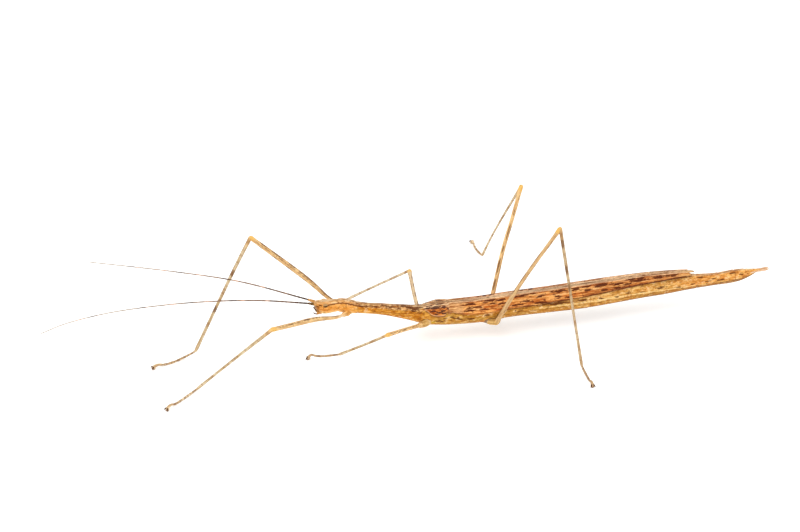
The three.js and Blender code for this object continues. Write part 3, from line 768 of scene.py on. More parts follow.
def build_hind_wing(side, name, thickness):
    """The leathery side panel, the strip along the back, and the folded fan's edges under them."""
    def panel(u, v):
        back = 51.0 - 1.1 * (1 - ease(0.0, 0.25, v)) - 0.35 * ease(0.6, 0.78, v)
        x = lerp(4.2, back, u)
        return wing_point(x, ledge_at(x) + 1.0, v * (FOLD + 0.05), side)

    def strip(u, v):
        x = lerp(4.3, 52.05 - 0.9 * (1 - ease(0.0, 0.5, v)), u)
        edge = ledge_at(x) + 1.0
        return wing_point(x, edge, lerp(FOLD - 0.06, 1.0, v), side, 0.11)

    def fan(u, v):
        x = lerp(38.0, 51.5 - 0.5 * v, u)
        edge = ledge_at(x) + 1.6
        return wing_point(x, edge, lerp(0.02, 0.94, v), side, 0.22 + 0.2 * ease(44, 52, x))

    def lining(u, v):
        x = lerp(44.0, 51.2 + 0.3 * v, u)
        edge = ledge_at(x) + 2.2
        return wing_point(x, edge, lerp(0.04, 0.9, v), side, 0.30 + 0.42 * ease(46, 52, x))

    sheets = [
        wing_sheet("panel", 220, 46, panel, thickness), wing_sheet("strip", 200, 20, strip, 0.10),
        wing_sheet("fan", 40, 16, fan, 0.07), wing_sheet("lining", 30, 14, lining, 0.07),
    ]
    return join(sheets, name)


def build_tegmen(side, name):
    """The short oval fore wing, with its shoulder hump and three stout veins."""
    def surface(u, v):
        back = 4.6 + 0.8 * ease(0.45, 1.0, v) - 0.95 * (1 - ease(0, 0.42, v))
        front = -0.25 + 0.35 * (1 - ease(0, 0.35, v))
        x = lerp(front, back, u)
        edge = ledge_at(x) + 0.6
        around = lerp(edge, 89.0, v)
        height, half, tall = outline_at(x)
        hump = 0.24 * bell(x, 2.6, 1.4) * bell(around, 60, 20)
        lift = 0.05 + hump + 0.05 * bell(around, 62, 4) + 0.03 * bell(around, 44, 3) + 0.03 * bell(around, 76, 3)
        lift += 0.05 * bell(v, 0, 0.08) - 0.04 * bell(around, 52, 5) * bell(x, 2.4, 1.6)
        lift -= 0.10 * (ease(0.86, 1.0, u) + ease(0.14, 0.0, u))
        a = math.radians(around)
        y = side * max(math.cos(a) * (half + lift), 0.02)
        return Vector((x, y, height + math.sin(a) * (tall + lift))), x, around

    return join([wing_sheet(name, 60, 44, surface, 0.12, TEGMEN_FLECKS)], name)


# ---------------------------------------------------------------- head pieces
def build_eye(side, name, half_length):
    """A domed eye, from a sphere drawn to size."""
    x, y, z = EYE["centre"]
    deselect()
    bpy.ops.mesh.primitive_uv_sphere_add(segments=40, ring_count=24, radius=1, location=(0, 0, 0))
    piece = named(name)
    for v in piece.data.vertices:
        v.co = put_mm((x + v.co.x * half_length, side * y + v.co.y * EYE["half"], z + v.co.z * EYE["half"]))
    face_out(piece)
    return piece


def build_feeler(line, name, radius):
    """A long feeler of many short rings, each a little wider at its far end."""
    at, length = route(line)
    root = at(0.0) - (at(0.01) - at(0.0)).normalized() * 0.35
    stations, travelled = [(root, radius, 0.0, 1.0, 1.0, 0.0)], 0.0
    while travelled < length:
        share = travelled / length
        size = lerp(radius, 0.070, share**0.7)
        ring = lerp(0.9, 1.9, ease(0.0, 0.35, share))
        end = min(travelled + ring, length)
        for t, swell in ((travelled + 0.04, 0.9), (lerp(travelled, end, 0.5), 0.97), (end - 0.06, 1.12)):
            if t < length:
                stations.append((at(t / length), size * swell / SHRINK[6], t, 1.0, 1.0, t))
        travelled = end
    stations.append((at(1.0), 0.05, length, 1.0, 1.0, length))
    piece = tube(name, stations, 6)
    apply_modifier(piece, "SUBSURF", levels=1, render_levels=1)
    return piece


def build_scape(line, name):
    """The feeler's stout first joint and the small round second one."""
    start, end = Vector(line[0]), Vector(line[1])
    rows = [
        (0.0, 0.30), (0.12, 0.33), (0.35, 0.29), (0.6, 0.30), (0.7, 0.29), (0.745, 0.2), (0.78, 0.21), (0.86, 0.25),
        (0.97, 0.22), (1.02, 0.15),
    ]
    stations = [(start.lerp(end, t), size / SHRINK[8], t, 1.0, 0.85, t) for t, size in rows]
    piece = tube(name, stations, 8)
    apply_modifier(piece, "SUBSURF", levels=2, render_levels=2)
    return piece


def jointed(name, points, widths, pinches):
    """A short feeler-like limb of a few joints, such as a palp."""
    at, length = route(points)
    stations = []
    joints = [0.0, *pinches, 1.0]
    for a, b in zip(joints, joints[1:]):
        for t, swell in ((a + 0.02, 0.86), (lerp(a, b, 0.3), 0.96), (lerp(a, b, 0.75), 1.06), (b - 0.02, 0.9)):
            size = between(widths, t) * swell / SHRINK[8]
            stations.append((at(clamp(t)), size, t, 1.0, 1.0, t * length))
    piece = tube(name, stations, 8)
    apply_modifier(piece, "SUBSURF", levels=2, render_levels=2)
    return piece


def lobe(name, centre, size, shape=None):
    """A rounded plate from a cube cut up and smoothed, then given its outline by shape(x, y, z)."""
    deselect()
    bpy.ops.mesh.primitive_cube_add(size=2, location=(0, 0, 0))
    piece = named(name)
    bpy.ops.object.mode_set(mode="EDIT")
    bpy.ops.mesh.select_all(action="SELECT")
    bpy.ops.mesh.subdivide(number_cuts=2)
    bpy.ops.object.mode_set(mode="OBJECT")
    apply_modifier(piece, "SUBSURF", levels=2, render_levels=2)
    for v in piece.data.vertices:
        p = Vector(v.co)
        if shape:
            p = shape(p)
        v.co = put_mm((centre[0] + p.x * size[0], centre[1] + p.y * size[1], centre[2] + p.z * size[2]))
    face_out(piece)
    return piece


def build_mouth():
    """Upper lip, the two jaws and the lower lip."""
    def lip(p):
        return Vector((p.x + 0.25 * p.z, p.y * (1 - 0.22 * (p.z < 0) * abs(p.z)), p.z))

    pieces = [lobe("lip", (-20.02, 0, 10.22), (0.24, 0.52, 0.36), lip)]
    for side in (-1, 1):
        def jaw(p, side=side):
            return Vector((p.x - 0.25 * p.z * p.z, p.y + side * 0.12 * p.x, p.z * (1 - 0.25 * p.x)))

        pieces.append(lobe("jaw", (-19.62, side * 0.46, 9.92), (0.50, 0.30, 0.42), jaw))
    pieces.append(lobe("chin", (-19.4, 0, 9.58), (0.55, 0.42, 0.20)))
    return join(pieces, "mouth")


def build_palps(points, name):
    """The long and the short palp of one side, each through its points."""
    long = jointed("long_palp", points[0], (0.15, 0.15, 0.14, 0.11), (0.22, 0.5, 0.72))
    short = jointed("short_palp", points[1], (0.12, 0.12, 0.09), (0.35, 0.65))
    return join([long, short], name)


# ---------------------------------------------------------------- tail and feet
def build_leaf(side, name):
    """One of the two slender flattened leaves at the tail tip."""
    points = [(62.9, side * 0.46, 6.85), (64.4, side * 0.3, 6.93), (65.6, side * 0.26, 6.94), (66.9, side * 0.28, 7.14)]
    at, length = route(points)
    rows = [
        (0.0, 0.22), (0.15, 0.25), (0.35, 0.22), (0.55, 0.22), (0.75, 0.26), (0.88, 0.24), (0.96, 0.15), (1.0, 0.06)
    ]
    stations = [(at(t), size / SHRINK[8], t, 1.0, 0.72, t * length) for t, size in rows]
    piece = tube(name, stations, 8)
    apply_modifier(piece, "SUBSURF", levels=2, render_levels=2)
    return piece


def build_tail_plate():
    """The keeled plate under the tail, a trough that ends in a blunt point."""
    def surface(u, v):
        x = lerp(57.0, 64.7 - 1.2 * abs(v - 0.5) ** 2 * 4, u)
        height, half, tall = flank_at(x)
        top = lerp(-8, -14, u)
        around = lerp(180 - top, 360 + top, v)
        a = math.radians(around)
        keel = 0.05 * bell(v, 0.5, 0.05)
        out = 0.05 + keel - 0.04 * ease(0.9, 1.0, u)
        y, z = math.cos(a) * (half + out), height + math.sin(a) * (tall + out)
        rise = degrees_up(math.sin(a))
        return Vector((x, y, z)), x, rise

    return join([wing_sheet("tail_plate", 44, 28, surface, 0.09, SIDE_FLECKS)], "tail_plate")


def build_claws(leg, name, radius):
    """Two small hooked claws beside a round pad."""
    ankle, toe = Vector((*leg["ankle"][:2], 0)), Vector((*leg["toe"], 0))
    ahead = (toe - ankle).normalized()
    across = Vector((-ahead.y, ahead.x, 0))
    pieces = []
    for side in (-1, 1):
        points = [
            toe + ahead * a + across * side * b + Vector((0, 0, c))
            for a, b, c in ((-0.12, 0.05, 0.55), (0.12, 0.24, 0.56), (0.30, 0.38, 0.36), (0.30, 0.44, 0.08))
        ]
        at, _ = route(points)
        rows = [
            (0.0, radius), (0.25, 1.04 * radius), (0.5, 0.88 * radius), (0.75, 0.62 * radius), (0.93, 0.35 * radius),
            (1.0, 0.15 * radius),
        ]
        claw = tube("claw", [(at(t), size / SHRINK[7], t, 1.0, 1.0, t) for t, size in rows], 7)
        apply_modifier(claw, "SUBSURF", levels=1, render_levels=1)
        pieces.append(claw)
    return join(pieces, name)


# ---------------------------------------------------------------- finishes
def colour(red, green, blue):
    """A colour given as 0 to 255 on screen, as the shader's own numbers."""
    def channel(c):
        c /= 255
        return c / 12.92 if c <= 0.04045 else ((c + 0.055) / 1.055) ** 2.4

    return (channel(red), channel(green), channel(blue), 1.0)


BARK = colour(92, 46, 26)


class Graph:
    """Adds shader nodes and joins their sockets."""

    def __init__(self, tree):
        self.tree = tree

    def add(self, kind, *inputs, **settings):
        node = self.tree.nodes.new(kind)
        named_inputs = settings.pop("sockets", {})
        for key, value in settings.items():
            setattr(node, key, value)
        for key, value in [*enumerate(inputs), *named_inputs.items()]:
            if value is not None:
                self.put(node, key, value)
        return node

    def put(self, node, key, value):
        """Links a socket to an input, or sets the input's own value."""
        if isinstance(value, bpy.types.NodeSocket):
            self.tree.links.new(value, node.inputs[key])
        else:
            node.inputs[key].default_value = value

    def math(self, operation, a, b=None, limit=False):
        return self.add("ShaderNodeMath", a, b, operation=operation, use_clamp=limit).outputs[0]

    def plus(self, a, b):
        return self.math("ADD", a, b)

    def minus(self, a, b):
        return self.math("SUBTRACT", a, b)

    def times(self, a, b):
        return self.math("MULTIPLY", a, b)

    def mix(self, share, a, b):
        node = self.add("ShaderNodeMix", data_type="RGBA")
        for key, value in ((0, share), (6, a), (7, b)):
            self.put(node, key, value)
        return node.outputs[2]

    def lay(self, ground, mask, amount, tint):
        """The ground with a tint laid over it, by amount where the mask is 1."""
        return self.mix(self.times(mask, amount), ground, tint)

    def noise(self, vector, scale, detail=3.0, roughness=0.55, warp=0.0):
        sockets = {"Vector": vector, "Scale": scale, "Detail": detail, "Roughness": roughness, "Distortion": warp}
        return self.add("ShaderNodeTexNoise", sockets=sockets).outputs["Fac"]

    def stretch(self, vector, scale, move=(0, 0, 0)):
        return self.add("ShaderNodeMapping", sockets={"Vector": vector, "Scale": scale, "Location": move}).outputs[0]

    def step(self, value, low, high):
        """0 below low and 1 above high, with a soft edge; the other way round if low is above high."""
        start, end = 0.0, 1.0
        if not any(isinstance(item, bpy.types.NodeSocket) for item in (low, high)) and low > high:
            low, high, start, end = high, low, end, start
        return self.add("ShaderNodeMapRange", value, low, high, start, end, interpolation_type="SMOOTHSTEP").outputs[0]

    def window(self, value, low, high, soft):
        """1 between low and high, with soft ends."""
        return self.times(self.step(value, low - soft, low + soft), self.step(value, high + soft, high - soft))

    def vivid(self, value, amount):
        """The colour made a little purer."""
        return self.add("ShaderNodeHueSaturation", sockets={"Saturation": amount, "Color": value}).outputs[0]

    def curve(self, value, points, low, high):
        """A smooth graph through points of (place, amount), with places from low to high and amounts 0 to 1."""
        share = self.math("DIVIDE", self.minus(value, low), high - low)
        node = self.add("ShaderNodeFloatCurve", sockets={"Value": share})
        line = node.mapping.curves[0]
        places = [((x - low) / (high - low), y) for x, y in points]
        line.points[0].location, line.points[1].location = places[0], places[-1]
        for place in places[1:-1]:
            line.points.new(*place)
        node.mapping.extend = "HORIZONTAL"
        node.mapping.update()
        return node.outputs[0]

    def effect(self, key, **inputs):
        return self.add("ShaderNodeGroup", node_tree=effects()[key], sockets=inputs).outputs

    def fibres(self, vector, scale, length):
        """Broad and fine fibres along the cuticle."""
        return self.effect("fibres", Vector=vector, Scale=scale, Length=length)

    def flecks(self, vector, scale, length, amount, edge):
        return self.effect("flecks", Vector=vector, Scale=scale, Length=length, Amount=amount, Edge=edge)[0]

    def line(self, place, centre, width, waver, vector):
        return self.effect("line", Place=place, Centre=centre, Width=width, Waver=waver, Vector=vector)[0]

    def pitting(self, vector, scale):
        return self.effect("pitting", Vector=vector, Scale=scale)[0]

    def attribute(self, name, output="Vector"):
        return self.add("ShaderNodeAttribute", attribute_name=name).outputs[output]

    def placed(self, coords, ragged=0.9, scale=2.2, length=0.42):
        """The placed flecks, torn into short streaks along the grain."""
        cloud = self.noise(self.stretch(coords, (length, 1.7, 1.7)), scale, 5.0, 0.6, 0.2)
        tear = self.times(self.minus(cloud, 0.5), ragged * 2)
        return self.step(self.plus(self.attribute("fleck", "Fac"), tear), 0.50, 0.60)


def new_group(name, inputs, outputs):
    """An empty node group, with a Graph on it and the sockets that it is given and has to fill."""
    tree = bpy.data.node_groups.new(name, "ShaderNodeTree")
    for socket, kind, default in inputs:
        item = tree.interface.new_socket(socket, in_out="INPUT", socket_type=kind)
        if default is not None:
            item.default_value = default
    for socket in outputs:
        tree.interface.new_socket(socket, in_out="OUTPUT", socket_type="NodeSocketFloat")
    start, end = tree.nodes.new("NodeGroupInput"), tree.nodes.new("NodeGroupOutput")
    return tree, Graph(tree), start.outputs, end.inputs


def along_grain(g, given):
    """The group's vector, shortened along the grain."""
    stretch = g.add("ShaderNodeCombineXYZ", given["Length"], 1.0, 1.0).outputs[0]
    return g.add("ShaderNodeVectorMath", given["Vector"], stretch, operation="MULTIPLY").outputs[0]


def effects():
    """The shared effects: fibres along the cuticle, ragged flecks, drawn lines and fine pitting."""
    names = {"fibres": "Fibres", "flecks": "Flecks", "line": "Drawn line", "pitting": "Pitting"}
    made = {key: bpy.data.node_groups.get(name) for key, name in names.items()}
    if all(made.values()):
        return made
    vector, number = "NodeSocketVector", "NodeSocketFloat"

    tree, g, given, out = new_group(
        "Fibres", [("Vector", vector, None), ("Scale", number, 3.0), ("Length", number, 0.12)], ["Broad", "Fine"]
    )
    along = along_grain(g, given)
    g.tree.links.new(g.noise(along, given["Scale"], 4.0, 0.6), out["Broad"])
    g.tree.links.new(g.noise(along, g.times(given["Scale"], 2.1), 3.0, 0.65), out["Fine"])
    made["fibres"] = tree

    tree, g, given, out = new_group(
        "Flecks",
        [
            ("Vector", vector, None), ("Scale", number, 1.5), ("Length", number, 0.2), ("Amount", number, 0.4),
            ("Edge", number, 0.05),
        ],
        ["Mask"],
    )
    along = along_grain(g, given)
    cloud = g.noise(along, given["Scale"], 5.0, 0.62, 0.35)
    low = g.minus(1.0, given["Amount"])
    g.tree.links.new(g.step(cloud, low, g.plus(low, given["Edge"])), out["Mask"])
    made["flecks"] = tree

    tree, g, given, out = new_group(
        "Drawn line",
        [
            ("Place", number, 0.0), ("Centre", number, 0.0), ("Width", number, 4.0), ("Waver", number, 0.0),
            ("Vector", vector, None),
        ],
        ["Mask"],
    )
    sway = g.times(g.minus(g.noise(given["Vector"], 1.6, 4.0, 0.6), 0.5), given["Waver"])
    away = g.math("ABSOLUTE", g.minus(g.plus(given["Place"], sway), given["Centre"]))
    share = g.math("DIVIDE", away, given["Width"])
    g.tree.links.new(g.step(share, 1.0, 0.45), out["Mask"])
    made["line"] = tree

    tree, g, given, out = new_group("Pitting", [("Vector", vector, None), ("Scale", number, 14.0)], ["Height"])
    sockets = {"Vector": given["Vector"], "Scale": given["Scale"]}
    cells = g.add("ShaderNodeTexVoronoi", feature="SMOOTH_F1", sockets=sockets)
    rough = g.noise(given["Vector"], g.times(given["Scale"], 0.45), 4.0, 0.6)
    g.tree.links.new(g.plus(g.times(cells.outputs["Distance"], 0.6), rough), out["Height"])
    made["pitting"] = tree
    return made


def begin_material(name):
    """A new material with its shader, and a Graph to add its pattern with."""
    material = bpy.data.materials.new(name)
    material.use_nodes = True
    tree = material.node_tree
    tree.nodes.clear()
    g = Graph(tree)
    shader = g.add("ShaderNodeBsdfPrincipled")
    output = g.add("ShaderNodeOutputMaterial")
    tree.links.new(shader.outputs[0], output.inputs[0])
    return material, g, shader


def end_material(g, shader, base, rough, height, depth_mm, specular=0.1, soft=0.0):
    """Joins the finished colour, roughness and height to the shader."""
    for key, value in (
        ("Base Color", base), ("Roughness", rough), ("Specular IOR Level", specular), ("Subsurface Weight", soft),
        ("Subsurface Radius", (0.0006, 0.0003, 0.00015)), ("Subsurface Scale", 1.0),
    ):
        g.put(shader, key, value)
    if height is not None:
        bump = g.add("ShaderNodeBump", sockets={"Strength": 1.0, "Distance": depth_mm * MM, "Height": height})
        g.tree.links.new(bump.outputs[0], shader.inputs["Normal"])


def split(g, vector):
    return g.add("ShaderNodeSeparateXYZ", vector).outputs


def trunk_colours(g, tones):
    """The colour and the height of the trunk's cuticle, from the head to the tail tip."""
    grain = g.attribute("grain")
    along, around, _ = split(g, g.attribute("mark"))
    fibres = g.fibres(grain, 1.9, 0.22)
    streaks = g.plus(g.times(fibres[0], 0.5), g.times(fibres[1], 0.5))
    light = g.step(streaks, 0.43, 0.57)

    # the ground: golden sides under a tan back in front, a tan flank behind, an orange tan tail
    fore = g.step(along, -11.0, -15.0)
    side = g.mix(
        fore, g.mix(light, colour(186, 112, 34), tuple(tones.side)),
        g.mix(light, colour(212, 136, 60), colour(238, 172, 96)),
    )
    back = g.mix(
        fore, g.mix(light, colour(170, 106, 48), tuple(tones.back_shade)),
        g.mix(light, colour(208, 152, 92), tuple(tones.back)),
    )
    edge = g.curve(
        along, [(-21, 0.55), (-17, 0.52), (-14, 0.50), (-11, 0.40), (-6, 0.40), (-2, 0.5), (2, 0.6), (10, 0.5)], -21, 10
    )
    over = g.step(g.minus(around, g.times(edge, 90)), -7, 9)
    front = g.mix(over, side, back)
    flank = g.mix(light, colour(172, 116, 44), tuple(tones.flank))
    moss = g.noise(g.stretch(grain, (0.4, 1, 1), (4, 0, 0)), 0.9, 3.0)
    flank = g.lay(flank, g.step(moss, 0.46, 0.66), g.step(along, 24, 14), colour(188, 146, 74))
    pale_flank = g.mix(light, colour(192, 132, 62), colour(232, 186, 116))
    flank = g.lay(flank, g.step(along, 22, 30), g.step(around, -16, -4), pale_flank)
    shaded = g.times(g.window(along, 18.5, 31.0, 2.0), g.window(around, 6, 22, 4))
    flank = g.lay(flank, shaded, 0.45, colour(126, 66, 20))
    tail = g.mix(light, colour(196, 124, 58), tuple(tones.tail))
    rear = g.mix(g.step(along, 44, 53), flank, tail)
    ground = g.mix(g.step(along, -2.0, 2.0), front, rear)
    ridge = g.times(g.step(around, 66, 84), g.add("ShaderNodeMapRange", along, 45.0, 56.0, 0.55, 0.75).outputs[0])
    ground = g.mix(ridge, ground, g.mix(light, colour(176, 140, 104), colour(222, 196, 162)))

    # slow patches, then painted shade on the underside
    calm = g.minus(1.0, g.times(fore, 0.7))
    patch = g.noise(g.stretch(grain, (0.35, 1, 1)), 0.9, 4.0)
    ground = g.lay(ground, g.step(patch, 0.5, 0.68), g.times(calm, 0.4), colour(208, 120, 48))
    ground = g.lay(ground, g.step(patch, 0.46, 0.30), g.times(calm, 0.35), colour(180, 138, 70))
    cloud = g.noise(g.stretch(grain, (0.6, 1, 1), (7, 2, 1)), 1.7, 4.0, 0.6)
    ground = g.lay(ground, g.step(cloud, 0.53, 0.62), g.times(calm, 0.5), colour(134, 76, 28))
    ground = g.lay(ground, g.step(cloud, 0.45, 0.37), g.times(calm, 0.5), colour(248, 214, 160))
    # painted shade: the underside is darkened, more so behind the thorax and on the tail's lower half
    low = g.plus(around, g.times(g.minus(cloud, 0.5), 24))
    painted_underside_shade = g.times(g.step(low, -30, -56), g.plus(0.4, g.times(g.step(along, -2, 40), 0.35)))
    painted_underside_shade = g.math("MAXIMUM", painted_underside_shade, g.times(g.step(low, 0, -30), g.times(g.step(along, 34, 56), 0.72)))
    ground = g.mix(painted_underside_shade, ground, colour(122, 76, 32))
    # painted shadow: a deeper dark line along the bottom of the trunk
    ground = g.lay(ground, g.step(low, -34, -50), g.plus(0.1, g.times(g.step(along, 10, 24), 0.55)), colour(92, 56, 26))
    chest = g.times(g.window(along, -9.5, 0.5, 1.5), g.window(around, -14, 22, 5))
    ground = g.lay(ground, chest, 0.26, colour(158, 94, 34))
    chin = g.times(g.step(along, -11.5, -14.0), g.step(around, -6, -26))
    ground = g.lay(ground, chin, 0.5, colour(250, 214, 150))
    face = g.times(g.step(along, -19.2, -20.2), g.step(around, 40, 20))
    ground = g.lay(ground, face, 0.6, colour(150, 78, 24))

    lips = g.line(around, g.curve(along, [(-20.4, 0.2), (-19.8, 0.08), (-18.0, 0.0)], -20.4, -18.0), 4.5, 6.0, grain)
    lips = g.times(lips, g.window(along, -20.3, -18.3, 0.3))
    ground = g.lay(ground, lips, 0.7, colour(164, 82, 20))

    # the dark stripe from the eye along the side, which breaks into mottles behind
    path = g.curve(
        along,
        [
            (-21, 0.36), (-19.6, 0.40), (-18.2, 0.44), (-17, 0.50), (-15.3, 0.53), (-13.6, 0.52), (-12.2, 0.46),
            (-11, 0.50), (-9, 0.58),
        ],
        -21, -9,
    )
    stripe = g.line(around, g.times(path, 90), 8.0, 26.0, g.stretch(grain, (1.8, 1.4, 1.4)))
    stripe = g.times(stripe, g.window(along, -18.7, -10.4, 0.5))
    mottle = g.flecks(grain, 2.1, 0.55, 0.485, 0.04)
    band = g.line(around, 60.0, 40.0, 10.0, grain)
    mottles = g.times(g.times(mottle, band), g.window(along, -12.8, -0.2, 0.8))
    ground = g.lay(ground, mottles, 0.72, colour(104, 56, 26))
    ground = g.lay(ground, stripe, 0.88, tuple(tones.stripe))

    # seams of the side: one rises to the wing's base, one pale line runs along the flank
    rising = g.curve(along, [(-9, 0.48), (-5, 0.60), (-2.5, 0.78), (0.5, 0.95)], -9, 0.5)
    seam = g.line(around, g.minus(g.times(rising, 90), 44.0), 4.6, 8.0, grain)
    seam = g.times(seam, g.window(along, -8.6, -0.4, 0.6))
    ground = g.lay(ground, seam, 0.65, colour(142, 78, 28))
    pale = g.line(
        around, g.curve(along, [(14, 0.0), (22, 0.0), (30, 0.04), (40, 0.09), (52, 0.06)], 14, 52), 4.0, 8.0, grain
    )
    pale = g.times(pale, g.window(along, 23, 54, 4))
    ground = g.lay(ground, pale, 0.55, colour(250, 222, 158))
    # painted shade: a soft dark line low on the flank, behind the middle legs
    shade = g.line(around, -11.0, 4.0, 9.0, grain)
    ground = g.lay(ground, g.times(shade, g.step(along, 8, 20)), 0.5, colour(134, 86, 36))
    keel = g.line(around, 88.0, 8.0, 10.0, grain)
    ground = g.lay(ground, keel, 0.25, colour(96, 74, 56))

    # placed flecks, then scattered specks and dust
    ground = g.lay(ground, g.placed(grain), 0.86, colour(84, 38, 12))
    speck = g.flecks(g.stretch(grain, (1, 1, 1), (3, 1, 2)), 2.2, 0.6, 0.37, 0.03)
    ground = g.lay(ground, speck, 0.75, BARK)
    dust = g.flecks(g.stretch(grain, (1, 1, 1), (9, 4, 2)), 3.6, 0.6, 0.43, 0.05)
    ground = g.lay(ground, dust, 0.5, colour(120, 74, 36))
    moss_spot = g.times(g.window(along, 0.3, 1.8, 0.5), g.window(around, -26, -10, 6))
    ground = g.lay(ground, moss_spot, 0.6, colour(196, 158, 30))

    # joints between the segments darken a little in their groove
    for place, _ in JOINTS:
        groove = g.times(g.window(along, place - 0.02, place + 0.14, 0.09), 0.22)
        ground = g.mix(groove, ground, colour(128, 80, 38))
    height = g.plus(streaks, g.times(g.pitting(grain, 4.0), 0.9))
    return ground, height


def leg_colours(g, tones):
    """The colour and the height of the legs: along is 0 at the hip, 1 at the knee, 2 at the ankle, 3 at the toe."""
    grain = g.attribute("grain")
    along, around, limb = split(g, g.attribute("mark"))
    tint = g.math("SUBTRACT", limb, 1.0, limit=True)
    pale, deep = g.times(g.step(tint, 0.4, 1.0), 0.6), g.times(g.step(tint, 0.45, 0.0), 0.42)
    fibres = g.fibres(grain, 3.0, 0.12)
    light = g.step(fibres[0], 0.40, 0.60)
    thigh = g.mix(light, tuple(tones.leg_shade), tuple(tones.leg))
    shin = g.mix(light, colour(176, 148, 106), colour(214, 196, 162))
    ground = g.mix(g.step(along, 1.03, 1.12), thigh, shin)
    ground = g.mix(g.step(along, 1.92, 2.05), ground, g.mix(light, colour(186, 152, 110), colour(226, 200, 160)))
    ground = g.mix(pale, ground, colour(204, 186, 158))
    foot_deep = g.times(deep, g.plus(1.0, g.times(g.step(along, 1.9, 2.05), 0.8)))
    foot_deep = g.plus(foot_deep, g.times(g.window(tint, 0.43, 0.47, 0.02), g.times(g.step(along, 1.9, 2.05), 0.6)))
    ground = g.mix(foot_deep, ground, colour(170, 136, 98))
    # painted shade: the underside of each leg is darkened
    ground = g.lay(ground, g.step(around, -10, -60), 0.3, colour(168, 116, 58))
    coxa = g.step(along, 0.0, -0.35)
    hip = g.mix(
        g.step(tint, 0.49, 0.46), g.mix(light, colour(196, 128, 48), colour(238, 180, 92)),
        g.mix(light, colour(166, 124, 60), colour(214, 170, 100)),
    )
    ground = g.lay(ground, coxa, 0.85, hip)
    ground = g.lay(
        ground, g.window(along, 0.01, 0.11, 0.03), g.times(g.window(tint, 0.47, 0.6, 0.02), 0.7), colour(240, 214, 176)
    )
    # ridges carry dark dashes
    for centre, amount, shift, width in ((46.0, 0.53, 3.0, 16.0), (-38.0, 0.53, 7.0, 16.0), (8.0, 0.38, 12.0, 18.0)):
        dash = g.flecks(g.stretch(grain, (1, 0, 0), (shift, 0, 0)), 1.5, 0.9, amount, 0.06)
        ridge = g.line(around, centre, width, 12.0, grain)
        dash = g.times(g.times(dash, ridge), g.window(along, 0.04, 0.93, 0.03))
        ground = g.lay(ground, dash, 0.5, colour(104, 62, 32))
    spots = g.placed(g.stretch(grain, (1.0, 2.0, 2.0)), 0.5, 2.4, 0.5)
    ground = g.lay(ground, spots, 0.72, colour(92, 48, 22))
    # the shin's blurred bands
    band = g.flecks(g.stretch(grain, (1, 0.12, 0.12), (11, 0, 0)), 0.8, 1.0, 0.50, 0.10)
    band = g.times(band, g.window(along, 1.04, 1.96, 0.02))
    ground = g.lay(ground, band, 0.55, colour(136, 90, 48))
    # the foot's joints
    foot = g.flecks(g.stretch(grain, (1, 0.2, 0.2), (5, 0, 0)), 1.9, 1.0, 0.55, 0.10)
    foot = g.times(foot, g.window(along, 2.02, 2.78, 0.02))
    ground = g.lay(ground, foot, 0.6, colour(104, 66, 38))
    ground = g.lay(ground, g.step(along, 2.95, 2.99), 0.75, colour(112, 74, 44))
    # knees are yellower, and the shin starts brown
    ground = g.lay(ground, g.window(along, 0.955, 1.004, 0.012), 0.8, tuple(tones.knee))
    ground = g.lay(ground, g.window(along, 1.018, 1.06, 0.016), 0.55, colour(120, 74, 36))
    speck = g.flecks(g.stretch(grain, (1, 1, 1), (2, 5, 1)), 3.0, 0.45, 0.40, 0.05)
    ground = g.lay(ground, speck, 0.6, colour(120, 74, 38))
    height = g.plus(fibres[0], g.times(g.pitting(grain, 9.0), 0.6))
    return ground, g.times(height, 0.5)


def skin_finish():
    material, g, shader = begin_material("insect cuticle")
    tones = bpy.context.scene.insect_colours
    trunk, trunk_height = trunk_colours(g, tones)
    legs, leg_height = leg_colours(g, tones)
    share = g.step(split(g, g.attribute("mark"))[2], 0.15, 0.85)
    base = g.mix(share, g.vivid(trunk, 1.03), legs)
    height = g.add("ShaderNodeMix", data_type="FLOAT", sockets={0: share, 2: trunk_height, 3: leg_height}).outputs[0]
    rough = g.plus(0.42, g.times(height, 0.12))
    end_material(g, shader, base, rough, height, 0.05, soft=0.05)
    return material


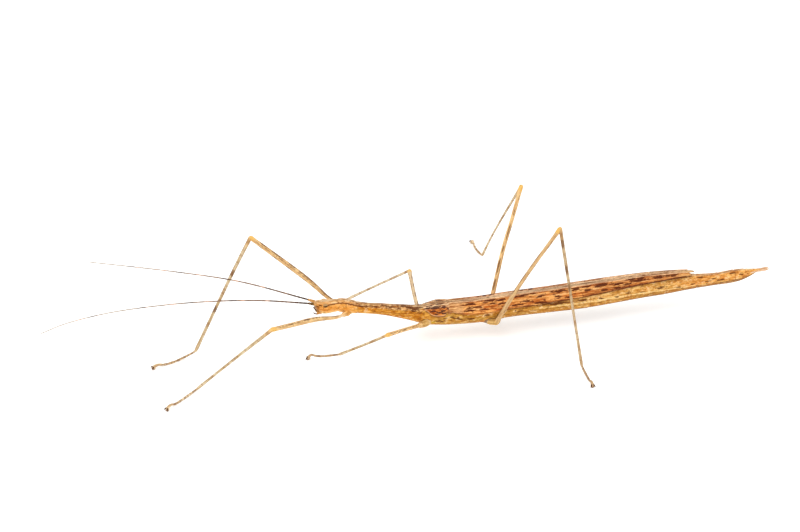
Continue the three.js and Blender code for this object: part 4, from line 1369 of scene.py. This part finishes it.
def wing_finish():
    material, g, shader = begin_material("closed wing")
    tones = bpy.context.scene.insect_colours
    grain = g.attribute("grain")
    along, around, _ = split(g, g.attribute("mark"))
    coords = g.stretch(grain, (1, 1, 0))
    fibres = g.fibres(coords, 1.9, 0.10)
    streaks = g.plus(g.times(fibres[0], 0.45), g.times(fibres[1], 0.55))
    light = g.step(streaks, 0.43, 0.57)
    place = g.add("ShaderNodeTexCoord").outputs["Object"]
    far = g.step(split(g, place)[1], (SHIFT.y - 0.049) * MM, (SHIFT.y + 0.051) * MM)  # the right wing
    side = g.mix(light, tuple(tones.wing), tuple(tones.wing_light))
    patch = g.noise(g.stretch(grain, (0.22, 1, 0)), 1.0, 3.0)
    side = g.lay(side, g.step(patch, 0.52, 0.66), 0.6, colour(246, 192, 128))
    side = g.lay(side, g.step(patch, 0.45, 0.34), 0.45, colour(150, 72, 22))
    lower = g.times(g.step(along, 27, 35), g.step(around, 58, 46))
    side = g.lay(side, lower, 0.32, colour(122, 58, 20))
    top = g.mix(g.step(streaks, 0.47, 0.54), colour(160, 84, 38), tuple(tones.wing_top))
    crown = g.mix(g.step(streaks, 0.47, 0.54), colour(144, 90, 54), colour(250, 206, 156))
    ground = g.mix(g.step(around, 68, 76), side, top)
    ground = g.mix(g.step(around, 80, 88), ground, crown)
    # painted light: the far (right) wing's upper side is painted paler than the near one's
    ground = g.lay(
        ground, g.times(far, g.step(around, 64, 72)), 0.6, g.mix(light, colour(196, 150, 112), colour(246, 214, 178))
    )
    base = g.times(g.step(along, 8.0, 6.4), 0.8)
    ground = g.mix(base, ground, g.mix(g.step(streaks, 0.46, 0.55), colour(160, 104, 58), colour(224, 170, 118)))
    ground = g.lay(ground, g.step(along, 47.5, 50.5), 0.45, g.mix(light, colour(206, 140, 70), colour(250, 206, 136)))

    # placed flecks, with smaller scattered ones between them
    rows = g.math("MAXIMUM", g.line(around, 60.0, 15.0, 9.0, coords),
                  g.line(around, 35.0, 15.0, 9.0, coords))
    small = g.flecks(g.stretch(coords, (1, 1, 1), (5, 2, 0)), 2.2, 0.32, 0.43, 0.035)
    small = g.times(g.times(small, rows), g.window(along, 6.8, 48.0, 1.0))
    ground = g.lay(ground, small, 0.9, colour(98, 40, 20))
    fine = g.flecks(g.stretch(coords, (1, 1, 1), (2, 7, 0)), 3.2, 0.25, 0.45, 0.05)
    ground = g.lay(ground, g.times(fine, g.step(along, 6.5, 8.5)), 0.6, colour(124, 58, 24))

    # long lines: the dark lower edge, the dark line under the strip along the back, thinner ones above
    low = g.curve(
        along,
        [
            (5, 0.30), (6.2, 0.20), (7.8, 0.13), (10.7, 0.105), (17, 0.117), (25, 0.20), (33, 0.28), (45, 0.445),
            (52, 0.58),
        ],
        5, 52,
    )
    above = g.minus(around, g.times(low, 90))
    above = g.plus(above, g.times(g.minus(streaks, 0.5), 22.0))
    hem = g.times(g.step(above, 8.0, 4.0), 0.9)
    hem = g.times(hem, g.plus(0.35, g.times(g.step(along, 13, 17), 0.65)))
    ground = g.mix(hem, ground, colour(84, 34, 16))
    line = g.line(
        around,
        g.curve(along, [(5, 0.90), (12, 0.82), (22, 0.86), (30, 0.85), (40, 0.785), (47, 0.755), (52, 0.71)], 5, 52),
        5.6, 13.0, g.stretch(coords, (0.7, 1, 1)),
    )
    line = g.times(line, g.step(fibres[1], 0.32, 0.44))
    # painted light: the dark line is painted fainter on the far (right) wing
    line = g.times(line, g.minus(1.0, g.times(far, 0.7)))
    line_colour = g.mix(g.step(along, 24, 40), colour(84, 42, 32), colour(130, 36, 24))
    ground = g.lay(ground, line, 0.92, line_colour)
    for centre, width, strength, tint in (
        ((1.0, 1.0, 0.94, 0.90), 2.6, 0.75, colour(84, 56, 40)),
        ((0.93, 0.94, 0.90, 0.86), 2.0, 0.6, colour(120, 60, 36)),
        ((0.76, 0.77, 0.76, 0.72), 2.0, 0.45, colour(120, 56, 26)),
        ((0.88, 0.90, 0.87, 0.83), 2.2, 0.65, colour(255, 224, 178)),
        ((0.97, 0.97, 0.92, 0.88), 2.0, 0.55, colour(255, 220, 176)),
        ((0.50, 0.52, 0.56, 0.62), 2.0, 0.45, colour(250, 202, 134)),
        ((0.30, 0.32, 0.40, 0.52), 1.8, 0.4, colour(118, 54, 24)),
        ((0.62, 0.62, 0.64, 0.66), 1.6, 0.4, colour(130, 62, 28)),
        ((0.70, 0.71, 0.70, 0.69), 1.8, 0.4, colour(252, 200, 136)),
    ):
        at = g.curve(along, list(zip((5, 20, 36, 52), centre)), 5, 52)
        vein = g.line(around, g.times(90.0, at), width, 7.0, g.stretch(coords, (0.6, 1, 1)))
        ground = g.lay(ground, vein, strength, tint)
    ground = g.lay(ground, g.placed(coords), 0.94, tuple(tones.fleck))

    sockets = {"Vector": g.stretch(coords, (0.7, 1.6, 0)), "Scale": 2.2}
    net = g.add("ShaderNodeTexVoronoi", feature="DISTANCE_TO_EDGE", sockets=sockets)
    threads = g.step(net.outputs["Distance"], 0.07, 0.02)
    ground = g.lay(ground, threads, 0.2, colour(112, 62, 34))
    height = g.plus(g.times(streaks, 1.2), g.times(threads, 0.35))
    rough = g.plus(0.42, g.times(streaks, 0.3))
    end_material(g, shader, g.vivid(ground, 1.02), rough, height, 0.07, soft=0.03)
    return material


def tegmen_finish():
    material, g, shader = begin_material("fore wing")
    grain = g.attribute("grain")
    along, around, _ = split(g, g.attribute("mark"))
    coords = g.stretch(grain, (1, 1, 0))
    fibres = g.fibres(coords, 2.0, 0.25)
    streaks = g.plus(g.times(fibres[0], 0.5), g.times(fibres[1], 0.5))
    light = g.step(streaks, 0.42, 0.58)
    low = g.mix(light, colour(146, 68, 20), colour(214, 130, 62))
    high = g.mix(light, colour(172, 112, 68), colour(246, 200, 150))
    ground = g.mix(g.step(around, 50, 62), low, high)
    ground = g.lay(ground, g.step(around, 80, 88), 0.6, colour(206, 166, 124))
    pale = g.times(g.step(along, 2.9, 4.0), g.step(around, 50, 36))
    ground = g.lay(ground, pale, 0.5, colour(220, 160, 96))
    dots = g.flecks(g.stretch(coords, (1, 1, 1), (4, 3, 0)), 2.6, 0.5, 0.45, 0.04)
    ground = g.lay(ground, dots, 0.72, colour(104, 48, 20))
    crest = g.line(around, 71.0, 4.0, 7.0, coords)
    ground = g.lay(ground, crest, 0.55, colour(250, 216, 168))
    for place, tint in (
        (76.0, colour(120, 70, 44)), (84.0, colour(104, 82, 60)), (88.5, colour(70, 54, 42)),
        (66.0, colour(112, 60, 36)),
    ):
        vein = g.line(around, place, 2.0, 6.0, coords)
        ground = g.lay(ground, vein, 0.6, tint)
    ground = g.lay(ground, g.placed(coords, 0.8, 2.6, 0.7), 0.92, colour(62, 32, 28))
    rim = g.curve(along, [(-0.2, 0.60), (0.4, 0.46), (1.3, 0.21), (2.7, 0.145), (4.0, 0.20), (5.0, 0.31)], -0.2, 5.0)
    above = g.minus(around, g.times(rim, 90))
    hem = g.times(g.step(above, 9.0, 6.0), 0.6)
    ground = g.mix(hem, ground, colour(244, 190, 132))
    ground = g.lay(ground, g.step(above, 4.6, 2.6), 0.8, colour(96, 48, 26))
    height = g.times(streaks, 1.2)
    rough = g.plus(0.42, g.times(streaks, 0.25))
    end_material(g, shader, g.vivid(ground, 1.02), rough, height, 0.07, soft=0.03)
    return material


def eye_finish():
    material, g, shader = begin_material("eye")
    tones = bpy.context.scene.insect_colours
    place = g.add("ShaderNodeTexCoord").outputs["Object"]
    at = g.stretch(place, (1 / MM, 1 / MM, 1 / MM))
    _, _, up = split(g, at)
    level = g.minus(up, EYE["centre"][2] - 0.02)
    wobble = g.times(g.minus(g.noise(at, 2.0, 2.0), 0.5), 0.35)
    dark = g.step(g.plus(level, wobble), 0.2, 0.05)
    grey = g.mix(g.noise(at, 3.0, 3.0), tuple(tones.eye), colour(150, 112, 66))
    base = g.mix(dark, grey, colour(66, 32, 0))
    facets = g.add("ShaderNodeTexVoronoi", feature="F1", sockets={"Vector": at, "Scale": 22.0})
    end_material(g, shader, base, 0.3, g.minus(1.0, facets.outputs["Distance"]), 0.012, specular=0.12)
    return material


def feeler_finish():
    material, g, shader = begin_material("feeler")
    tones = bpy.context.scene.insect_colours
    mark = g.attribute("mark")
    along = split(g, mark)[0]
    base = g.mix(g.step(along, 0.0, 9.0), tuple(tones.feeler), colour(126, 92, 68))
    base = g.mix(g.step(along, 12.0, 44.0), base, tuple(tones.feeler_tip))
    wave = g.noise(g.stretch(mark, (1, 0, 0)), 0.42, 2.0, 0.5)
    pale = g.times(g.step(wave, 0.5, 0.6), g.step(along, 3.0, 6.0))
    base = g.lay(base, pale, 0.7, colour(216, 170, 142))
    for place in (6.4, 14.6, 23.2, 32.0, 41.0):
        base = g.lay(base, g.window(along, place, place + 1.5, 0.3), 0.8, colour(72, 46, 36))
    rings = g.noise(g.stretch(mark, (1, 0, 0)), 3.0, 2.0)
    base = g.lay(base, g.step(rings, 0.52, 0.62), 0.35, colour(70, 46, 36))
    end_material(g, shader, base, 0.5, rings, 0.01)
    return material


def plain_finish(name, dark, light, rough, scale, depth=0.02, tip=None, specular=0.12):
    """A mottled cuticle for small pieces, with an end of another colour where tip is given."""
    material, g, shader = begin_material(name)
    place = g.add("ShaderNodeTexCoord").outputs["Object"]
    at = g.stretch(place, (1 / MM, 1 / MM, 1 / MM))
    cloud = g.noise(at, scale, 4.0, 0.6)
    base = g.mix(g.step(cloud, 0.36, 0.66), dark, light)
    if tip:
        along = split(g, g.attribute("mark"))[0]
        base = g.mix(g.step(along, tip[0], tip[1]), base, tip[2])
    end_material(g, shader, base, rough, cloud, depth, specular=specular, soft=0.05)
    return material


# ---------------------------------------------------------------- sizes and colours to change
def tone(name, description, value):
    return bpy.props.FloatVectorProperty(
        name=name, description=description, subtype="COLOR", size=4, min=0.0, max=1.0, default=value
    )


def measure(name, description, value, low, high):
    return bpy.props.FloatProperty(
        name=name, description=description, default=value * MM, min=low * MM, max=high * MM, unit="LENGTH",
        subtype="DISTANCE", precision=5,
    )


class InsectColours(bpy.types.PropertyGroup):
    back: tone("Back", "Light tan of the head and thorax seen from above", colour(240, 200, 148))
    back_shade: tone("Back shade", "Lighter streaks of the thorax seen from above", colour(232, 188, 132))
    side: tone("Side", "Golden side of the head and thorax", colour(230, 168, 78))
    flank: tone("Flank", "Tan of the sides under the wings", colour(212, 156, 78))
    tail: tone("Tail", "Light orange tan of the tail", colour(236, 178, 104))
    stripe: tone("Stripe", "Dark stripe behind the eye", colour(96, 46, 24))
    leg: tone("Leg", "Pale straw of the legs", colour(234, 196, 138))
    leg_shade: tone("Leg shade", "Darker straw of the legs", colour(202, 158, 104))
    knee: tone("Knee", "Yellow of the knees", colour(228, 178, 88))
    wing: tone("Wing side", "Orange brown of the closed wings' sides", colour(192, 104, 46))
    wing_light: tone("Wing light", "Lighter streaks of the wings' sides", colour(250, 176, 100))
    wing_top: tone("Wing top", "Pale strip of the wings along the back", colour(250, 198, 146))
    fleck: tone("Fleck", "Dark flecks of the wings", colour(80, 28, 10))
    feeler: tone("Feeler", "Dark base of the feelers", colour(64, 36, 10))
    feeler_tip: tone("Feeler tip", "Pale ends of the feelers", colour(176, 158, 140))
    eye: tone("Eye", "Pale upper half of the eyes", colour(196, 156, 104))
    floor: tone("Floor", "The plain studio floor", colour(250, 251, 250))


class InsectSizes(bpy.types.PropertyGroup):
    smoothness: bpy.props.IntProperty(
        name="Skin smoothness", description="How many times the skin's cage is subdivided", default=2, min=1, max=3
    )
    wing: measure("Wing thickness", "Thickness of a closed wing's side panel", 0.11, 0.04, 0.2)
    feeler: measure("Feeler radius", "Radius of a feeler at its base", 0.150, 0.08, 0.25)
    eye: measure("Eye radius", "Half the length of an eye", 0.52, 0.4, 0.7)
    claw: measure("Claw radius", "Radius of a claw at its base", 0.13, 0.06, 0.2)
    floor: bpy.props.FloatProperty(
        name="Floor width", description="Width of the studio floor", default=4.0, min=1.0, max=10.0, unit="LENGTH"
    )


# ---------------------------------------------------------------- operators
SIDES = {"left": -1, "right": 1}


class INSECT_OT_skin(bpy.types.Operator):
    """Draw the skin of the head, trunk and legs"""

    bl_idname = "insect.skin"
    bl_label = "Skin"

    def execute(self, context):
        skin = build_skin(context.scene.insect_sizes.smoothness)
        nodes = ["head", "prothorax", "mesothorax", "metathorax"] + [f"abdomen_{n}" for n in range(2, 11)]
        nodes += [f"{part}_{leg}" for part in ("coxa", "femur", "tibia", "tarsus") for leg in LEGS]
        finish_piece(skin, skin_finish(), "body", *nodes)
        return {"FINISHED"}


class INSECT_OT_wings(bpy.types.Operator):
    """Lay the closed hind wings along the back"""

    bl_idname = "insect.wings"
    bl_label = "Hind wings"

    def execute(self, context):
        material, thickness = wing_finish(), context.scene.insect_sizes.wing / MM
        for name, side in SIDES.items():
            finish_piece(
                build_hind_wing(side, f"wing_{name}", thickness), material, "wings", f"hind_wing_{name}", angle=50
            )
        return {"FINISHED"}


class INSECT_OT_fore_wings(bpy.types.Operator):
    """Lay the two short fore wings over the wings' bases"""

    bl_idname = "insect.fore_wings"
    bl_label = "Fore wings"

    def execute(self, context):
        material = tegmen_finish()
        for name, side in SIDES.items():
            finish_piece(build_tegmen(side, f"fore_wing_{name}"), material, "wings", f"tegmen_{name}", angle=50)
        return {"FINISHED"}


class INSECT_OT_eyes(bpy.types.Operator):
    """Set the two domed eyes into the head"""

    bl_idname = "insect.eyes"
    bl_label = "Eyes"

    def execute(self, context):
        material, half_length = eye_finish(), context.scene.insect_sizes.eye / MM
        for name, side in SIDES.items():
            finish_piece(build_eye(side, f"eyeball_{name}", half_length), material, "eyes", f"eye_{name}")
        return {"FINISHED"}


class INSECT_OT_feelers(bpy.types.Operator):
    """Draw the feelers: their stout bases and their long whips"""

    bl_idname = "insect.feelers"
    bl_label = "Feelers"

    def execute(self, context):
        material, radius = feeler_finish(), context.scene.insect_sizes.feeler / MM
        for name, line in FEELERS.items():
            base = plain_finish(
                f"feeler base {name}", colour(174, 122, 62), colour(212, 160, 98), 0.42, 3.0,
                tip=(line["dark"], line["dark"] + 0.14, colour(104, 74, 34)),
            )
            finish_piece(build_scape(line["scape"], f"feeler_base_{name}"), base, "body", f"scape_{name}")
            finish_piece(build_feeler(line["whip"], f"feeler_{name}", radius), material, "feelers", f"flagellum_{name}")
        return {"FINISHED"}


class INSECT_OT_mouth(bpy.types.Operator):
    """Model the lips, jaws and palps"""

    bl_idname = "insect.mouth"
    bl_label = "Mouthparts"

    def execute(self, context):
        lips = plain_finish("mouthparts", colour(180, 118, 56), colour(228, 176, 102), 0.38, 2.6)
        palp = plain_finish(
            "palp", colour(176, 118, 52), colour(206, 148, 80), 0.45, 4.0, tip=(0.3, 0.7, colour(88, 54, 8))
        )
        finish_piece(build_mouth(), lips, "body", "jaws")
        for name, points in PALPS.items():
            finish_piece(build_palps(points, f"mouth_feelers_{name}"), palp, "body", f"palp_{name}")
        return {"FINISHED"}


class INSECT_OT_tail(bpy.types.Operator):
    """Model the two tail leaves and the keeled plate under the tail"""

    bl_idname = "insect.tail"
    bl_label = "Tail"

    def execute(self, context):
        leaf = plain_finish("tail leaf", colour(198, 152, 112), colour(226, 194, 160), 0.5, 3.0, specular=0.15)
        plate = plain_finish("tail plate", colour(136, 90, 44), colour(186, 136, 76), 0.5, 1.2, specular=0.15)
        for name, side in SIDES.items():
            finish_piece(build_leaf(side, f"tail_leaf_{name}"), leaf, "body", f"cercus_{name}")
        finish_piece(build_tail_plate(), plate, "body", "operculum", angle=50)
        return {"FINISHED"}


class INSECT_OT_claws(bpy.types.Operator):
    """Hook two small claws beside each toe pad"""

    bl_idname = "insect.claws"
    bl_label = "Claws"

    def execute(self, context):
        material = plain_finish("claw", colour(60, 36, 26), colour(110, 72, 46), 0.3, 5.0)
        radius = context.scene.insect_sizes.claw / MM
        for name, leg in LEGS.items():
            finish_piece(build_claws(leg, f"claws_{name}", radius), material, "legs")
        return {"FINISHED"}


def add_lamp(name, place, target, size, power):
    """A soft square lamp at place, facing the target, both in metres."""
    deselect()
    bpy.ops.object.light_add(type="AREA", location=place)
    lamp = bpy.context.object
    lamp.name, lamp.data.name = name, name
    lamp.data.size, lamp.data.energy = size, power
    lamp.rotation_euler = (Vector(target) - Vector(place)).to_track_quat("-Z", "Y").to_euler()


class INSECT_OT_stage(bpy.types.Operator):
    """Lay the plain pale floor and set the lamps and the camera"""

    bl_idname = "insect.stage"
    bl_label = "Stage"

    def execute(self, context):
        scene = context.scene
        deselect()
        bpy.ops.mesh.primitive_plane_add(size=scene.insect_sizes.floor, location=(0, 0, 0))
        floor = named("floor")
        material, g, shader = begin_material("studio floor")
        cloud = g.noise(g.add("ShaderNodeTexCoord").outputs["Object"], 3.0, 2.0)
        shade = g.lay(tuple(scene.insect_colours.floor), cloud, 0.02, (0.8, 0.8, 0.8, 1.0))
        end_material(g, shader, shade, 0.9, None, 0.0, specular=0.1)
        # painted light: the floor glows a little, which washes the insect's soft shadow out to white and lights the
        # insect from below
        g.put(shader, "Emission Color", (1.0, 1.0, 1.0, 1.0))
        g.put(shader, "Emission Strength", 0.24)
        floor.data.materials.append(material)

        world = bpy.data.worlds.new("soft studio")
        world.use_nodes = True
        sky = world.node_tree.nodes["Background"]
        sky.inputs["Color"].default_value, sky.inputs["Strength"].default_value = (1.0, 1.0, 1.0, 1.0), 0.86
        scene.world = world
        add_lamp("key", (-0.5, -0.45, 1.4), (0, 0, 0), 1.1, 10.0)
        add_lamp("fill", (0.7, -0.9, 1.0), (0, 0, 0), 1.3, 3.0)

        deselect()
        place, target = Vector((-86.615, -401.181, 290.84)) * MM, Vector((3.035, 20.449, 0.0)) * MM
        bpy.ops.object.camera_add(location=place)
        camera = bpy.context.object
        camera.name = "camera"
        camera.rotation_euler = (target - place).to_track_quat("-Z", "Y").to_euler()
        camera.data.lens, camera.data.sensor_width = 120.375, 36.0
        camera.data.sensor_fit = "HORIZONTAL"
        camera.data.clip_start, camera.data.clip_end = 0.05, 20.0
        scene.camera = camera
        scene.view_settings.view_transform = "Standard"
        return {"FINISHED"}


STEPS = (
    INSECT_OT_skin, INSECT_OT_wings, INSECT_OT_fore_wings, INSECT_OT_eyes, INSECT_OT_feelers,
    INSECT_OT_mouth, INSECT_OT_tail, INSECT_OT_claws, INSECT_OT_stage,
)


class INSECT_PT_panel(bpy.types.Panel):
    """The insect's steps, sizes and colours"""

    bl_label = "Stick Insect"
    bl_idname = "INSECT_PT_panel"
    bl_space_type = "VIEW_3D"
    bl_region_type = "UI"
    bl_category = "Stick Insect"

    def draw(self, context):
        column = self.layout.column(align=True)
        for step in STEPS:
            column.operator(step.bl_idname)
        for group in (context.scene.insect_sizes, context.scene.insect_colours):
            column = self.layout.column()
            for key in group.bl_rna.properties.keys():
                if key not in ("rna_type", "name"):
                    column.prop(group, key)


CLASSES = (InsectColours, InsectSizes, *STEPS, INSECT_PT_panel)


def register():
    for each in CLASSES:
        bpy.utils.register_class(each)
    bpy.types.Scene.insect_colours = bpy.props.PointerProperty(type=InsectColours)
    bpy.types.Scene.insect_sizes = bpy.props.PointerProperty(type=InsectSizes)


def unregister():
    del bpy.types.Scene.insect_sizes, bpy.types.Scene.insect_colours
    for each in reversed(CLASSES):
        bpy.utils.unregister_class(each)


def main():
    register()
    bpy.ops.insect.skin()
    bpy.ops.insect.wings()
    bpy.ops.insect.fore_wings()
    bpy.ops.insect.eyes()
    bpy.ops.insect.feelers()
    bpy.ops.insect.mouth()
    bpy.ops.insect.tail()
    bpy.ops.insect.claws()
    bpy.ops.insect.stage()


if __name__ == "__main__":
    main()
